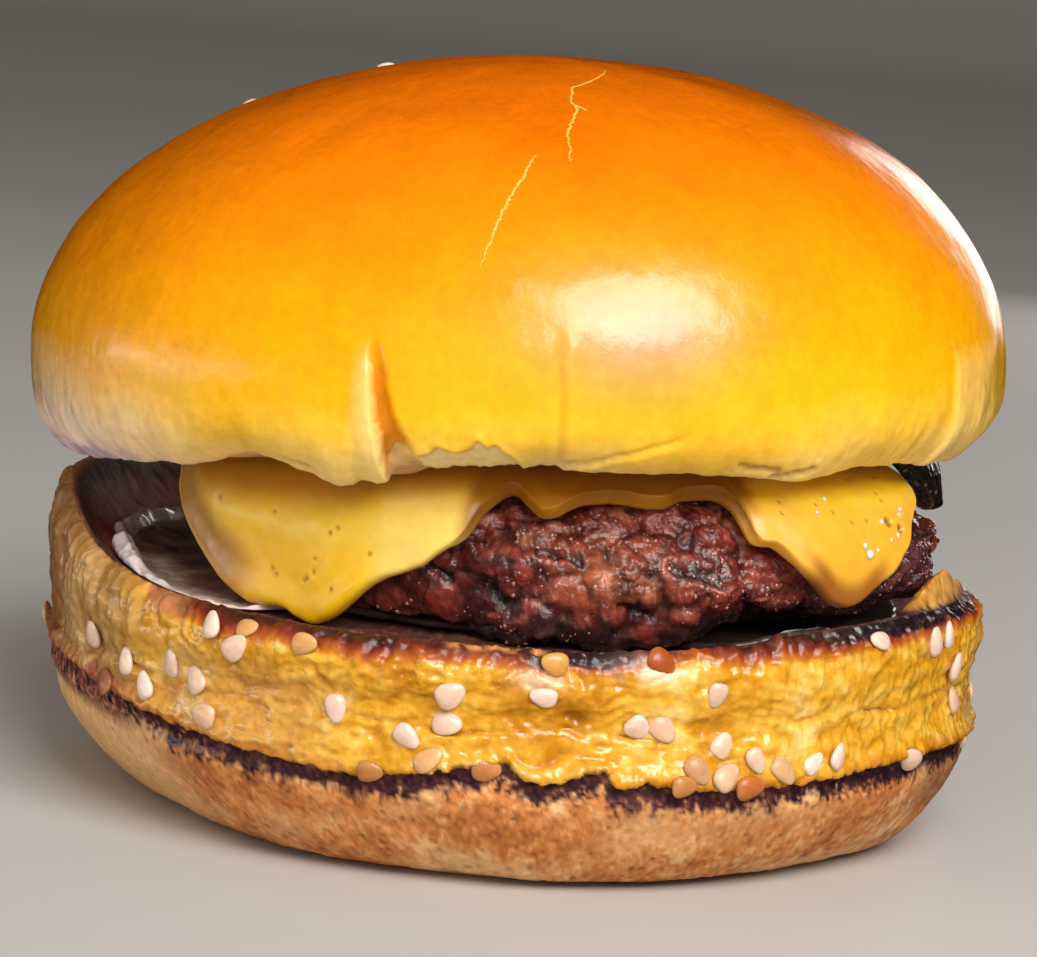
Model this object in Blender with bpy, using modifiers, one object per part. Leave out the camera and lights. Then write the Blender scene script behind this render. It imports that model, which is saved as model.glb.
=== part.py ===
"""Hamburger: a glazed crown, a melted cheese slice, a beef patty, a gherkin slice,
white sauce and a seeded heel, as six solids stacked with small gaps.

Lengths are in millimetres up to the last step of each piece, which turns them
into metres. +Z is up, the front of the hamburger looks along -Y, and azimuth is
counted in degrees from the front towards +X.
"""
import math
import random

import bmesh
import bpy
from mathutils import Matrix, Vector, noise
from mathutils.bvhtree import BVHTree

MM = 0.001
GAP = 0.3

# Crown: a flattened dome, tilted so that its right side is higher.
CROWN_X = -0.3
CROWN_Z = 49.8
CROWN_RADIUS = 54.1
# Reach of the widest line round the azimuth: a little less in front and behind.
CROWN_RADII = [(-90, 54.1), (0, 53.0), (90, 54.1), (180, 52.9)]
CROWN_RISE = 33.27
CROWN_POWER = 2.15
# Fullness of the dome round the azimuth: its left flank is a little flatter.
CROWN_POWERS = [(-90, 2.06), (0, 2.13), (90, 2.13), (180, 2.12)]
CROWN_TILT = 3.95
CROWN_STEPS = 60
CROWN_DOME_ROWS = 10
RIM_RADIUS = 50.6
RIM_DROP = 8.2
UNDERSIDE_RINGS = [(47.4, 1.2), (44.2, 3.0), (41.2, 4.6), (37.8, 6.0), (33.5, 6.0), (24.0, 6.0)]
UNDERSIDE_GAP = 0.65

# Depth of the crown's lower rim below its widest line, round the azimuth.
CROWN_RIM = [(-90, 9.9), (-62, 8.7), (-47, 7.6), (-40, 7.3), (-33, 5.7), (-27, 6.6), (-20, 8.1),
             (-12, 6.5), (1, 5.9), (10, 6.3), (27, 7.3), (36, 8.0), (46, 7.4), (54, 7.6), (66, 8.2),
             (90, 8.3), (112, 8.4), (130, 7.4), (150, 8.0), (178, 7.1), (205, 8.2), (235, 8.9)]
# Folds in the crown's lower side: azimuth, depth and half height of the fold.
CROWN_FOLDS = [(-18, 1.5, 9.0), (66, 0.8, 8.0), (6, 0.4, 8.0)]

# Patty envelope: centre, reach and rounding of its edges.
PATTY_X = 6.0
PATTY_TOP = 40.7
PATTY_BOTTOM = 26.6
PATTY_FLAT = 34.7
PATTY_ROUND = 8.4
PATTY_SHOULDER = 7.3
PATTY_WAIST_Z = 31.5
PATTY_STEPS = 64
PATTY_LUMP = 2.6
PATTY_LUMP_SIZE = 8.0
# The shoulder sinks where the gherkin slice hangs over it.
PATTY_SAG_AZIMUTH = 84.0
PATTY_SAG_WIDTH = 38.0
PATTY_SAG = 5.0
# The front bulges below the cheese and sags towards the heel's rim.
PATTY_BULGE = 2.0
PATTY_BULGE_SPAN = (-9.0, 20.0, 7.0)
PATTY_BULGE_LEVELS = (26.0, 33.0, 3.0)
PATTY_DROOP = 3.1
PATTY_DROOP_SPAN = (-36.0, 16.0, 9.0)
PATTY_DROOP_START = 37.8

# Cheese: the outer face follows the patty at this distance.
CHEESE_THICK = 2.3
CHEESE_FLAT = 35.0
CHEESE_ROUND = 11.0
CHEESE_SHOULDER = 9.8
CHEESE_TOP = 43.3
CHEESE_STEPS = 66
CHEESE_LEVEL = 34.0
CHEESE_ROWS = 6
# Reach of the slice along the patty from its middle, round the azimuth: four corners hang.
CHEESE_EDGE = [(-85, 41.0), (-76, 43.5), (-68, 47.4), (-63, 51.2), (-57, 54.4), (-53, 56.2), (-50, 57.4),
               (-46, 58.5), (-42, 58.8), (-38.5, 58.9), (-36, 59.8), (-34, 60.0), (-32, 59.3),
               (-30, 58.1), (-26.5, 55.6), (-23, 53.8), (-18.5, 52.2), (-15.5, 50.1), (-13, 48.2),
               (-11, 44.6), (-8, 41.8), (-4, 44.7), (-1.5, 44.4), (2.2, 42.4), (6, 41.6), (11, 42.3),
               (14, 42.0), (17, 40.6), (22, 40.3), (24, 41.8), (25.5, 46.5), (29, 47.7), (32.5, 50.0),
               (35.8, 52.4), (38, 53.8), (42, 54.2), (45, 52.6), (49.5, 50.6), (52.5, 48.7),
               (55.5, 46.2), (60, 43.5), (63, 39.5), (66, 35.5), (70, 35.0), (108, 35.0),
               (116, 37.5), (125, 46.0), (138, 53.5), (152, 47.0), (168, 42.5), (188, 42.0),
               (205, 46.0), (220, 53.0), (232, 56.0), (245, 50.0), (258, 43.0)]

# Heel: a shallow bowl with a waisted, seeded side.
HEEL_X = 1.2
HEEL_STEPS = 60
HEEL_CUT = 24.2
HEEL_CREST = 26.4
HEEL_PROFILE = [(0.0, 24.2), (24.0, 24.2), (38.0, 24.2), (43.0, 24.35), (46.4, 24.9), (48.8, 25.8),
                (50.2, 26.4), (51.4, 25.8), (52.2, 24.0), (52.2, 21.6), (51.4, 18.8), (51.8, 15.8),
                (52.4, 13.4), (51.9, 11.8), (51.6, 9.8), (50.2, 6.8), (47.9, 3.6), (44.6, 1.0),
                (41.0, 0.0), (24.0, 0.0), (0.0, 0.0)]
# Share of the crest's rise that each radius of the cut face and height of the side takes.
CREST_INNER = [(38.0, 0.0), (43.0, 0.16), (46.4, 0.52), (48.8, 0.86), (50.2, 1.0)]
CREST_OUTER = [(17.0, 0.0), (18.8, 0.08), (21.6, 0.45), (24.0, 0.82), (25.8, 0.96), (26.4, 1.0)]
# Height of the heel's crest round the azimuth.
HEEL_RIM = [(-90, 33.2), (-80, 32.2), (-70, 30.0), (-60, 27.9), (-52, 26.7), (-40, 26.0), (-30, 25.7),
            (0, 25.7), (12, 25.8), (20, 26.2), (28, 26.8), (36, 27.6), (46, 28.3), (66, 28.6), (84, 28.0),
            (90, 27.0), (98, 26.2), (112, 26.0), (128, 26.2), (150, 26.4), (180, 26.8), (205, 27.2), (225, 29.6),
            (245, 32.4), (258, 33.3)]
# How far the heel's lower side draws in round the azimuth, and its share by height.
HEEL_TUCK = [(-100, 1.4), (-80, 3.0), (-60, 3.2), (-46, 2.4), (-28, 0.3), (20, 0.0), (38, 1.1),
             (52, 0.9), (72, 0.0), (150, 0.6), (200, 0.2)]
TUCK_SHARE = [(0.0, 1.0), (3.6, 0.95), (6.8, 0.72), (9.8, 0.52), (13.4, 0.36), (15.8, 0.1), (18.0, 0.0)]

# Sauce between the heel and the patty.
SAUCE_STEPS = 48
SAUCE_THICK = 1.8
SAUCE_EDGE_THICK = 0.8
SAUCE_THIN_START = 29.0
SAUCE_THIN_SPAN = 8.0
SAUCE_ROWS = [0.5, 0.82, 0.93, 1.0]
SAUCE_EDGE = [(-75, 45.2), (-62, 47.8), (-50, 48.3), (-41, 47.4), (-38.3, 44.0), (-36, 38.5), (-32.5, 35.8),
              (-20, 35.6), (-14, 36.2), (12, 36.8), (20, 38.2), (25.5, 40.2), (30, 46.0), (38, 47.6),
              (48, 46.0), (70, 43.5), (100, 42.0), (135, 44.5), (165, 42.8), (200, 44.8), (235, 43.0),
              (262, 44.0)]

# Gherkin slice: a disc on the cheese, bent down where it passes the patty's shoulder.
PICKLE_RADIUS = 11.5
PICKLE_THICK = 3.0
PICKLE_X = 41.0
PICKLE_Y = -3.5
PICKLE_Z = 44.3
PICKLE_BEND_START = 33.5
PICKLE_BEND_RADIUS = 5.5
PICKLE_BEND_ANGLE = 80.0
PICKLE_STEPS = 26
PICKLE_HOLLOW_TOP = 48.3
PICKLE_HOLLOW_INNER = 15.0
PICKLE_HOLLOW_OUTER = 22.0

# Sesame seeds: length, width, thickness and how deep they sit.
SEED_LENGTH = 3.1
SEED_WIDTH = 2.35
SEED_THICK = 1.25
SEED_SUNK = 0.22
SEED_RANDOM = 4127
# Seeds that show at the front: azimuth on the heel, height, lean in degrees.
FRONT_SEEDS = [(-35.2, 24.3, -20), (-30.8, 24.4, 75), (-31.8, 22.5, 48), (-37.8, 18.1, -45),
               (-42.2, 19.2, 10), (-50.2, 18.0, -12), (-46.2, 16.1, -35), (-35.8, 14.8, -80),
               (-19.2, 17.8, 168), (-23.0, 24.1, 80), (-6.0, 20.8, 60), (-6.2, 17.7, 95),
               (-10.5, 16.1, 125), (-7.8, 14.0, 53), (4.0, 21.4, -80), (5.0, 24.7, -80),
               (15.0, 18.6, 130), (18.0, 18.4, 137), (23.8, 22.1, 188), (25.5, 16.7, 35),
               (22.2, 14.3, 140), (25.7, 13.7, 50), (29.5, 15.2, 150), (33.2, 14.0, 135),
               (38.0, 14.5, 55), (41.5, 15.0, 40), (47.0, 26.7, -80), (58.5, 25.8, -12),
               (63.0, 26.0, -18), (65.5, 22.3, 10), (68.0, 18.2, -28), (55.8, 13.5, -50),
               (81.0, 12.0, 80), (-58.5, 19.5, 2), (-54.2, 15.2, -55), (-90.0, 16.5, -45),
               (17.2, 25.2, 125), (-14.2, 12.3, 88), (-1.5, 13.6, 88), (20.5, 12.9, 86),
               (28.8, 12.6, 80)]
BACK_SEEDS = 42
BACK_SEED_SPACING = 5.2
# Seeds on the crown: azimuth and share of the way from its middle to its widest line.
CROWN_SEEDS = [(-122, 0.30), (164, 0.20), (128, 0.34), (-152, 0.46), (176, 0.52), (150, 0.66),
               (-128, 0.66), (-168, 0.78), (118, 0.72), (-104, 0.50), (-114, 0.86)]

COLOURS = {
    "bun_top": (0.720, 0.290, 0.030, 0.34),
    "bun_bottom": (0.560, 0.270, 0.060, 0.45),
    "patty": (0.110, 0.035, 0.024, 0.42),
    "cheese": (0.860, 0.520, 0.070, 0.38),
    "mayo": (0.830, 0.760, 0.730, 0.30),
    "pickle_slice": (0.030, 0.045, 0.022, 0.25),
}


def smooth(share):
    """Ease a share between nought and one."""
    share = min(1.0, max(0.0, share))
    return share * share * (3.0 - 2.0 * share)


def round_value(table, azimuth):
    """Value at an azimuth, eased between the entries of a table that closes on itself."""
    first = table[0][0]
    azimuth = first + (azimuth - first) % 360.0
    closed = table + [(first + 360.0, table[0][1])]
    for (a0, v0), (a1, v1) in zip(closed, closed[1:]):
        if azimuth <= a1:
            return v0 + (v1 - v0) * smooth((azimuth - a0) / (a1 - a0))
    return closed[-1][1]


def table_value(table, key):
    """Value between the entries of an ordered table, held level beyond its ends."""
    if key <= table[0][0]:
        return table[0][1]
    for (k0, v0), (k1, v1) in zip(table, table[1:]):
        if key <= k1:
            return v0 + (v1 - v0) * (key - k0) / (k1 - k0)
    return table[-1][1]


def span_share(value, span):
    """One between a span's first two numbers, easing to nought over its third beyond them."""
    low, high, soft = span
    return smooth((value - low) / soft + 1.0) * smooth((high - value) / soft + 1.0)


def azimuth_gap(a, b):
    """Smallest angle between two azimuths, in degrees."""
    return abs((a - b + 180.0) % 360.0 - 180.0)


def polar(centre_x, radius, azimuth, height):
    """Point at a radius and azimuth about an upright line through (centre_x, 0)."""
    angle = math.radians(azimuth)
    return Vector((centre_x + radius * math.sin(angle), -radius * math.cos(angle), height))


def turned(name, profile, steps, collection):
    """Turn a profile of (radius, height) pairs about Z and apply the modifier."""
    mesh = bpy.data.meshes.new(name)
    points = [(radius, 0.0, height) for radius, height in profile]
    edges = [(i, i + 1) for i in range(len(points) - 1)]
    mesh.from_pydata(points, edges, [])
    obj = bpy.data.objects.new(name, mesh)
    collection.objects.link(obj)
    screw = obj.modifiers.new("turn", "SCREW")
    screw.axis = "Z"
    screw.angle = math.tau
    screw.steps = steps
    screw.render_steps = steps
    screw.use_merge_vertices = True
    screw.merge_threshold = 0.0001
    apply_modifiers(obj)
    return obj


def apply_modifiers(obj):
    """Replace an object's mesh by what its modifiers make of it."""
    bpy.context.view_layer.update()
    graph = bpy.context.evaluated_depsgraph_get()
    made = bpy.data.meshes.new_from_object(obj.evaluated_get(graph))
    obj.modifiers.clear()
    old = obj.data
    obj.data = made
    bpy.data.meshes.remove(old)


def reshape(obj, place):
    """Move each vertex to place(radius, azimuth, height) of where the turning left it."""
    for vertex in obj.data.vertices:
        x, y, z = vertex.co
        radius = math.hypot(x, y)
        azimuth = math.degrees(math.atan2(x, -y)) if radius > 0.001 else 0.0
        vertex.co = place(radius, azimuth, z)


def finish_piece(obj):
    """Face the piece outwards, turn it into metres and give it its material."""
    shell = bmesh.new()
    shell.from_mesh(obj.data)
    bmesh.ops.recalc_face_normals(shell, faces=shell.faces)
    bmesh.ops.scale(shell, vec=(MM, MM, MM), verts=shell.verts)
    shell.to_mesh(obj.data)
    shell.free()
    red, green, blue, rough = COLOURS[obj.name]
    material = bpy.data.materials.new(obj.name)
    material.use_nodes = True
    shader = material.node_tree.nodes["Principled BSDF"]
    shader.inputs["Base Color"].default_value = (red, green, blue, 1.0)
    shader.inputs["Roughness"].default_value = rough
    shader.inputs["Metallic"].default_value = 0.0
    obj.data.materials.clear()
    obj.data.materials.append(material)


def cheese_face(reach):
    """Radius, height and outward slope of the cheese's outer face at a reach."""
    quarter = math.pi / 4.0 * (CHEESE_ROUND + CHEESE_SHOULDER)
    if reach <= CHEESE_FLAT:
        return reach, CHEESE_TOP, 0.0
    turn = min(1.0, (reach - CHEESE_FLAT) / quarter) * math.pi / 2.0
    radius = CHEESE_FLAT + CHEESE_ROUND * math.sin(turn)
    height = CHEESE_TOP - CHEESE_SHOULDER * (1.0 - math.cos(turn))
    return radius, height - max(0.0, reach - CHEESE_FLAT - quarter), turn


def cheese_cover(radius):
    """Height of the cheese's outer face above a radius, or none beyond its wall."""
    if radius <= CHEESE_FLAT:
        return CHEESE_TOP
    share = (radius - CHEESE_FLAT) / CHEESE_ROUND
    if share >= 1.0:
        return -1.0
    return CHEESE_TOP - CHEESE_SHOULDER * (1.0 - math.sqrt(1.0 - share * share))


def crown_rim_height(azimuth):
    """World height of the crown's lower rim."""
    tilt = math.radians(CROWN_TILT)
    x = RIM_RADIUS * math.sin(math.radians(azimuth))
    return CROWN_Z + x * math.sin(tilt) - round_value(CROWN_RIM, azimuth) * math.cos(tilt)


def crown_underside(x, y, azimuth):
    """Height of the crown's cut face, clear of the cheese and the gherkin slice."""
    level = crown_rim_height(azimuth) + 0.35
    cover = cheese_cover(math.hypot(x - PATTY_X, y)) + UNDERSIDE_GAP
    level = max(level, cover)
    away = math.hypot(x - PICKLE_X, y - PICKLE_Y)
    share = (PICKLE_HOLLOW_OUTER - away) / (PICKLE_HOLLOW_OUTER - PICKLE_HOLLOW_INNER)
    return level + max(0.0, PICKLE_HOLLOW_TOP - level) * smooth(share)


def crown_shape(radius, azimuth, height):
    """Place a point of the turned crown, given relative to its widest line."""
    if height <= -20.0:
        ring = int(round(-height - 20.0))
        if ring == len(UNDERSIDE_RINGS):
            return Vector((PATTY_X, 0.0, crown_underside(PATTY_X, 0.0, 0.0)))
        reach, centre = UNDERSIDE_RINGS[ring]
        spot = polar(centre, reach, azimuth, 0.0)
        spot.z = crown_underside(spot.x, spot.y, azimuth)
        return spot
    widest = round_value(CROWN_RADII, azimuth)
    if height < 0.0:
        height *= round_value(CROWN_RIM, azimuth) / RIM_DROP
        radius *= widest / CROWN_RADIUS
    else:
        power = round_value(CROWN_POWERS, azimuth)
        share = min(1.0, height / CROWN_RISE)
        radius = widest * (1.0 - share ** power) ** (1.0 / power)
    for fold_azimuth, depth, half in CROWN_FOLDS:
        beside = 1.0 - azimuth_gap(azimuth, fold_azimuth) / 5.0
        along = 1.0 - abs(height + 4.0) / half
        if beside > 0.0 and along > 0.0:
            radius -= depth * beside * smooth(along * 2.0)
    spot = polar(0.0, radius, azimuth, height)
    spot = Matrix.Rotation(math.radians(-CROWN_TILT), 3, "Y") @ spot
    return spot + Vector((CROWN_X, 0.0, CROWN_Z))


def make_crown(collection):
    """Dome, rolled lower rim and cut underside in one turned solid."""
    profile = [(0.0, CROWN_RISE)]
    for row in range(1, CROWN_DOME_ROWS + 1):
        angle = math.pi / 2.0 * row / CROWN_DOME_ROWS
        across = CROWN_RADIUS * math.sin(angle) ** (2.0 / CROWN_POWER)
        up = CROWN_RISE * max(0.0, math.cos(angle)) ** (2.0 / CROWN_POWER)
        profile.append((across, up))
    profile += [(53.9, -2.8), (53.2, -5.6), (52.1, -7.4), (RIM_RADIUS, -RIM_DROP)]
    for ring, (reach, centre) in enumerate(UNDERSIDE_RINGS):
        profile.append((reach, -20.0 - ring))
    profile.append((0.0, -20.0 - len(UNDERSIDE_RINGS)))
    crown = turned("bun_top", profile, CROWN_STEPS, collection)
    reshape(crown, crown_shape)
    return crown


def patty_shape(radius, azimuth, height):
    """Bulge and droop the turned envelope at the front and sink it into lumps."""
    spot = polar(PATTY_X, radius, azimuth, height)
    side = smooth((radius - 30.0) / 10.0)
    bulge = span_share(azimuth, PATTY_BULGE_SPAN) * span_share(height, PATTY_BULGE_LEVELS)
    radius += PATTY_BULGE * bulge * smooth((radius - 36.0) / 3.0)
    droop = PATTY_DROOP * span_share(azimuth, PATTY_DROOP_SPAN)
    droop *= smooth((radius - PATTY_DROOP_START) / 4.5) * smooth((PATTY_WAIST_Z - height) / 3.0)
    coarse = noise.noise(spot / PATTY_LUMP_SIZE)
    fine = noise.noise(spot / PATTY_LUMP_SIZE * 2.1 + Vector((7.0, 3.0, 1.0)))
    sink = min(1.0, max(0.0, 0.42 + 0.75 * coarse + 0.4 * fine))
    radius -= PATTY_LUMP * sink * side
    near = 1.0 - azimuth_gap(azimuth, PATTY_SAG_AZIMUTH) / PATTY_SAG_WIDTH
    sag = PATTY_SAG * smooth(near) * smooth((radius - 28.0) / 8.0) * smooth((height - 34.0) / 5.0)
    level = height - sag - droop
    if height > PATTY_WAIST_Z:
        level -= 0.5 * sink * side
    else:
        level += 0.4 * sink * side
    return polar(PATTY_X, radius, azimuth, level)


def make_patty(collection):
    """Rounded patty from two quarter ovals and flat faces."""
    profile = [(0.0, PATTY_TOP), (20.0, PATTY_TOP)]
    waist = PATTY_TOP - PATTY_SHOULDER
    for row in range(7):
        angle = math.pi / 2.0 * row / 6.0
        across = PATTY_FLAT + PATTY_ROUND * math.sin(angle)
        profile.append((across, waist + PATTY_SHOULDER * math.cos(angle)))
    drop = PATTY_WAIST_Z - PATTY_BOTTOM
    for row in range(6):
        angle = math.pi / 2.0 * row / 5.0
        across = PATTY_FLAT + 1.3 + (PATTY_ROUND - 1.3) * math.cos(angle)
        profile.append((across, PATTY_WAIST_Z - drop * math.sin(angle)))
    profile += [(20.0, PATTY_BOTTOM), (0.0, PATTY_BOTTOM)]
    patty = turned("patty", profile, PATTY_STEPS, collection)
    reshape(patty, patty_shape)
    return patty


def cheese_shape(radius, azimuth, height):
    """Place a point of the slice: radius counts rows beyond its level part."""
    edge = round_value(CHEESE_EDGE, azimuth)
    if radius <= CHEESE_LEVEL:
        reach = radius
    else:
        reach = CHEESE_LEVEL + (edge - CHEESE_LEVEL) * (radius - CHEESE_LEVEL) / CHEESE_ROWS
    across, level, slope = cheese_face(reach)
    depth = -height * CHEESE_THICK
    across -= depth * math.sin(slope)
    level -= depth * math.cos(slope)
    return polar(PATTY_X, across, azimuth, level)


def make_cheese(collection):
    """Turned slice whose reach follows a melted square, draped over the patty."""
    rows = [0.0, CHEESE_LEVEL] + [CHEESE_LEVEL + row for row in range(1, CHEESE_ROWS + 1)]
    lip = rows[-1] + 0.12
    profile = [(row, 0.0) for row in rows]
    profile += [(lip, -0.3), (lip, -0.7)]
    profile += [(row, -1.0) for row in reversed(rows)]
    cheese = turned("cheese", profile, CHEESE_STEPS, collection)
    reshape(cheese, cheese_shape)
    return cheese


def heel_rise(azimuth):
    """How far the crest stands above or below its plain height."""
    return round_value(HEEL_RIM, azimuth) - HEEL_CREST


def heel_shape(radius, azimuth, height):
    """Raise the turned heel's rim where the bread curls up and draw its foot in."""
    if height >= HEEL_CUT and radius <= 50.3:
        share = table_value(CREST_INNER, radius)
    else:
        share = table_value(CREST_OUTER, height)
    tuck = round_value(HEEL_TUCK, azimuth) * table_value(TUCK_SHARE, height)
    radius -= tuck * smooth((radius - 30.0) / 8.0)
    return polar(HEEL_X, radius, azimuth, height + share * heel_rise(azimuth))


def heel_cut_height(radius, azimuth):
    """Height of the heel's cut face at a radius about the heel's own middle."""
    plain = table_value([(r, z) for r, z in HEEL_PROFILE[:7]], radius)
    return plain + table_value(CREST_INNER, radius) * heel_rise(azimuth)


def make_heel(collection):
    """Waisted lower bun with a bowl-shaped cut face and a flat base."""
    heel = turned("bun_bottom", HEEL_PROFILE, HEEL_STEPS, collection)
    reshape(heel, heel_shape)
    return heel


def sauce_shape(radius, azimuth, height):
    """Place a point of the sauce on the cut face: radius is a share, height the layer."""
    share = min(1.0, radius / 10.0)
    reach = round_value(SAUCE_EDGE, azimuth) * share
    thin = smooth((reach - SAUCE_THIN_START) / SAUCE_THIN_SPAN)
    thick = SAUCE_THICK + (SAUCE_EDGE_THICK - SAUCE_THICK) * thin
    swell = 0.4 if radius > 10.1 else 0.0
    spot = polar(HEEL_X, reach + swell, azimuth, 0.0)
    spot.z = heel_cut_height(reach, azimuth) + GAP + thick * height
    return spot


def make_sauce(collection):
    """Thin uneven layer on the heel's cut face."""
    profile = [(0.0, 1.0)]
    profile += [(share * 10.0, 1.0) for share in SAUCE_ROWS]
    profile.append((10.5, 0.5))
    profile += [(share * 10.0, 0.0) for share in reversed(SAUCE_ROWS)]
    profile.append((0.0, 0.0))
    sauce = turned("mayo", profile, SAUCE_STEPS, collection)
    reshape(sauce, sauce_shape)
    return sauce


def pickle_shape(radius, azimuth, height):
    """Bend the round slice down beyond the patty's shoulder."""
    spot = polar(PICKLE_X, radius, azimuth, 0.0)
    away = Vector((spot.x - PATTY_X, spot.y + PICKLE_Y, 0.0))
    beyond = away.length - PICKLE_BEND_START
    if beyond <= 0.0:
        return Vector((spot.x, spot.y + PICKLE_Y, PICKLE_Z + height))
    inner = PICKLE_BEND_RADIUS
    most = math.radians(PICKLE_BEND_ANGLE)
    turn = min(most, beyond / (inner + PICKLE_THICK / 2.0))
    straight = beyond - turn * (inner + PICKLE_THICK / 2.0)
    out = (inner + height) * math.sin(turn) + straight * math.cos(turn)
    level = (inner + height) * math.cos(turn) - inner - straight * math.sin(turn)
    spot = away.normalized() * (PICKLE_BEND_START + out)
    return spot + Vector((PATTY_X, 0.0, PICKLE_Z + level))


def make_pickle(collection):
    """Round gherkin slice with a softened edge, bent over the side of the patty."""
    edge = PICKLE_RADIUS
    thick = PICKLE_THICK
    profile = [(0.0, thick), (edge * 0.45, thick), (edge * 0.8, thick), (edge - 0.5, thick * 0.97),
               (edge, thick * 0.8), (edge, thick * 0.2), (edge - 0.5, thick * 0.03),
               (edge * 0.8, 0.0), (edge * 0.45, 0.0), (0.0, 0.0)]
    pickle = turned("pickle_slice", profile, PICKLE_STEPS, collection)
    reshape(pickle, pickle_shape)
    return pickle


def seed_object(name, spot, normal, lean, size, collection):
    """One teardrop seed, lying on the surface with its length leaning from upright."""
    ball = bmesh.new()
    bmesh.ops.create_uvsphere(ball, u_segments=5, v_segments=4, radius=1.0)
    for vertex in ball.verts:
        taper = 1.0 - 0.3 * vertex.co.z
        vertex.co.x *= taper * SEED_WIDTH / 2.0 * size
        vertex.co.y *= taper * SEED_THICK / 2.0 * size
        vertex.co.z *= SEED_LENGTH / 2.0 * size
    mesh = bpy.data.meshes.new(name)
    ball.to_mesh(mesh)
    ball.free()
    seed = bpy.data.objects.new(name, mesh)
    collection.objects.link(seed)
    up = Vector((0.0, 0.0, 1.0)) if abs(normal.z) < 0.9 else Vector((0.0, 1.0, 0.0))
    across = up.cross(normal).normalized()
    along = normal.cross(across).normalized()
    axes = Matrix((across, normal, along)).transposed()
    turn = Matrix.Rotation(math.radians(lean), 3, "Y")
    place = (axes @ turn).to_4x4()
    place.translation = spot + normal * SEED_SUNK
    mesh.transform(place)


def seed_union(obj, places, collection):
    """Fuse seeds, given as rays and leans, to an object with one union."""
    tree = BVHTree.FromPolygons([v.co for v in obj.data.vertices],
                                [tuple(p.vertices) for p in obj.data.polygons])
    for number, (origin, direction, lean, size) in enumerate(places):
        spot, normal, index, distance = tree.ray_cast(origin, direction)
        if spot is None:
            continue
        if normal.dot(direction) > 0.0:
            normal = -normal
        seed_object("seed%03d" % number, spot, normal, lean, size, collection)
    union = obj.modifiers.new("seeds", "BOOLEAN")
    union.operation = "UNION"
    union.solver = "EXACT"
    union.operand_type = "COLLECTION"
    union.collection = collection
    apply_modifiers(obj)
    for seed in list(collection.objects):
        bpy.data.objects.remove(seed)


def heel_seed_places():
    """Rays for the seeds of the heel: the listed ones in front, random ones behind."""
    draw = random.Random(SEED_RANDOM)
    spots = [(azimuth, height, lean) for azimuth, height, lean in FRONT_SEEDS]
    tries = 0
    while len(spots) < len(FRONT_SEEDS) + BACK_SEEDS and tries < 4000:
        tries += 1
        azimuth = draw.uniform(84.0, 272.0)
        height = draw.uniform(12.8, 23.8)
        apart = [math.hypot(azimuth_gap(azimuth, a) * 0.9, height - h) for a, h, lean in spots]
        if min(apart) > BACK_SEED_SPACING * 0.92:
            spots.append((azimuth, height, draw.uniform(-90.0, 90.0)))
    places = []
    for azimuth, height, lean in spots:
        outside = polar(HEEL_X, 80.0, azimuth, height)
        inside = polar(HEEL_X, 0.0, azimuth, height)
        places.append((outside, (inside - outside).normalized(), lean, draw.uniform(0.88, 1.08)))
    return places


def crown_seed_places():
    """Rays for the few seeds on the crown, from above towards its middle."""
    draw = random.Random(SEED_RANDOM + 1)
    middle = Vector((CROWN_X, 0.0, CROWN_Z))
    places = []
    for azimuth, share in CROWN_SEEDS:
        angle = share * math.pi / 2.0
        away = polar(0.0, math.sin(angle), azimuth, math.cos(angle) * 0.75)
        outside = middle + away * 100.0
        places.append((outside, -away.normalized(), draw.uniform(-90.0, 90.0),
                       draw.uniform(0.88, 1.08)))
    return places


def main():
    for old in list(bpy.data.objects):
        bpy.data.objects.remove(old)
    burger = bpy.data.collections.new("hamburger")
    bpy.context.scene.collection.children.link(burger)
    loose = bpy.data.collections.new("loose_seeds")
    bpy.context.scene.collection.children.link(loose)

    heel = make_heel(burger)
    crown = make_crown(burger)
    for piece in (heel, crown):
        shell = bmesh.new()
        shell.from_mesh(piece.data)
        bmesh.ops.recalc_face_normals(shell, faces=shell.faces)
        shell.to_mesh(piece.data)
        shell.free()
    seed_union(heel, heel_seed_places(), loose)
    seed_union(crown, crown_seed_places(), loose)
    bpy.data.collections.remove(loose)
    pieces = [heel, make_sauce(burger), make_patty(burger), make_cheese(burger),
              make_pickle(burger), crown]
    for piece in pieces:
        finish_piece(piece)


main()
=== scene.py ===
import math
import random

import bpy
import numpy as np
from mathutils import Matrix, Vector, noise
from mathutils.bvhtree import BVHTree


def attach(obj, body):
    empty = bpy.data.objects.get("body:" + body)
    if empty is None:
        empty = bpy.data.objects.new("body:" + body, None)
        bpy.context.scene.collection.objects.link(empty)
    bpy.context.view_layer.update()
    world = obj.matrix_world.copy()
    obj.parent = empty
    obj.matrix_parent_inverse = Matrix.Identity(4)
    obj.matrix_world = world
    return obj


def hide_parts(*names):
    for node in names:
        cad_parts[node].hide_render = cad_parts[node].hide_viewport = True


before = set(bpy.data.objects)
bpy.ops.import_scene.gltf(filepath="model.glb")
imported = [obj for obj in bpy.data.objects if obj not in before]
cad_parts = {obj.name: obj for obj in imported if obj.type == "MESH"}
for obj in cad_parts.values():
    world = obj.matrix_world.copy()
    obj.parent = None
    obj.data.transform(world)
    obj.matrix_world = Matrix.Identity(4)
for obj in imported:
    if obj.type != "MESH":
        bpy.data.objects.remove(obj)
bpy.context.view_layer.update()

MM = 0.001

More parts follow.
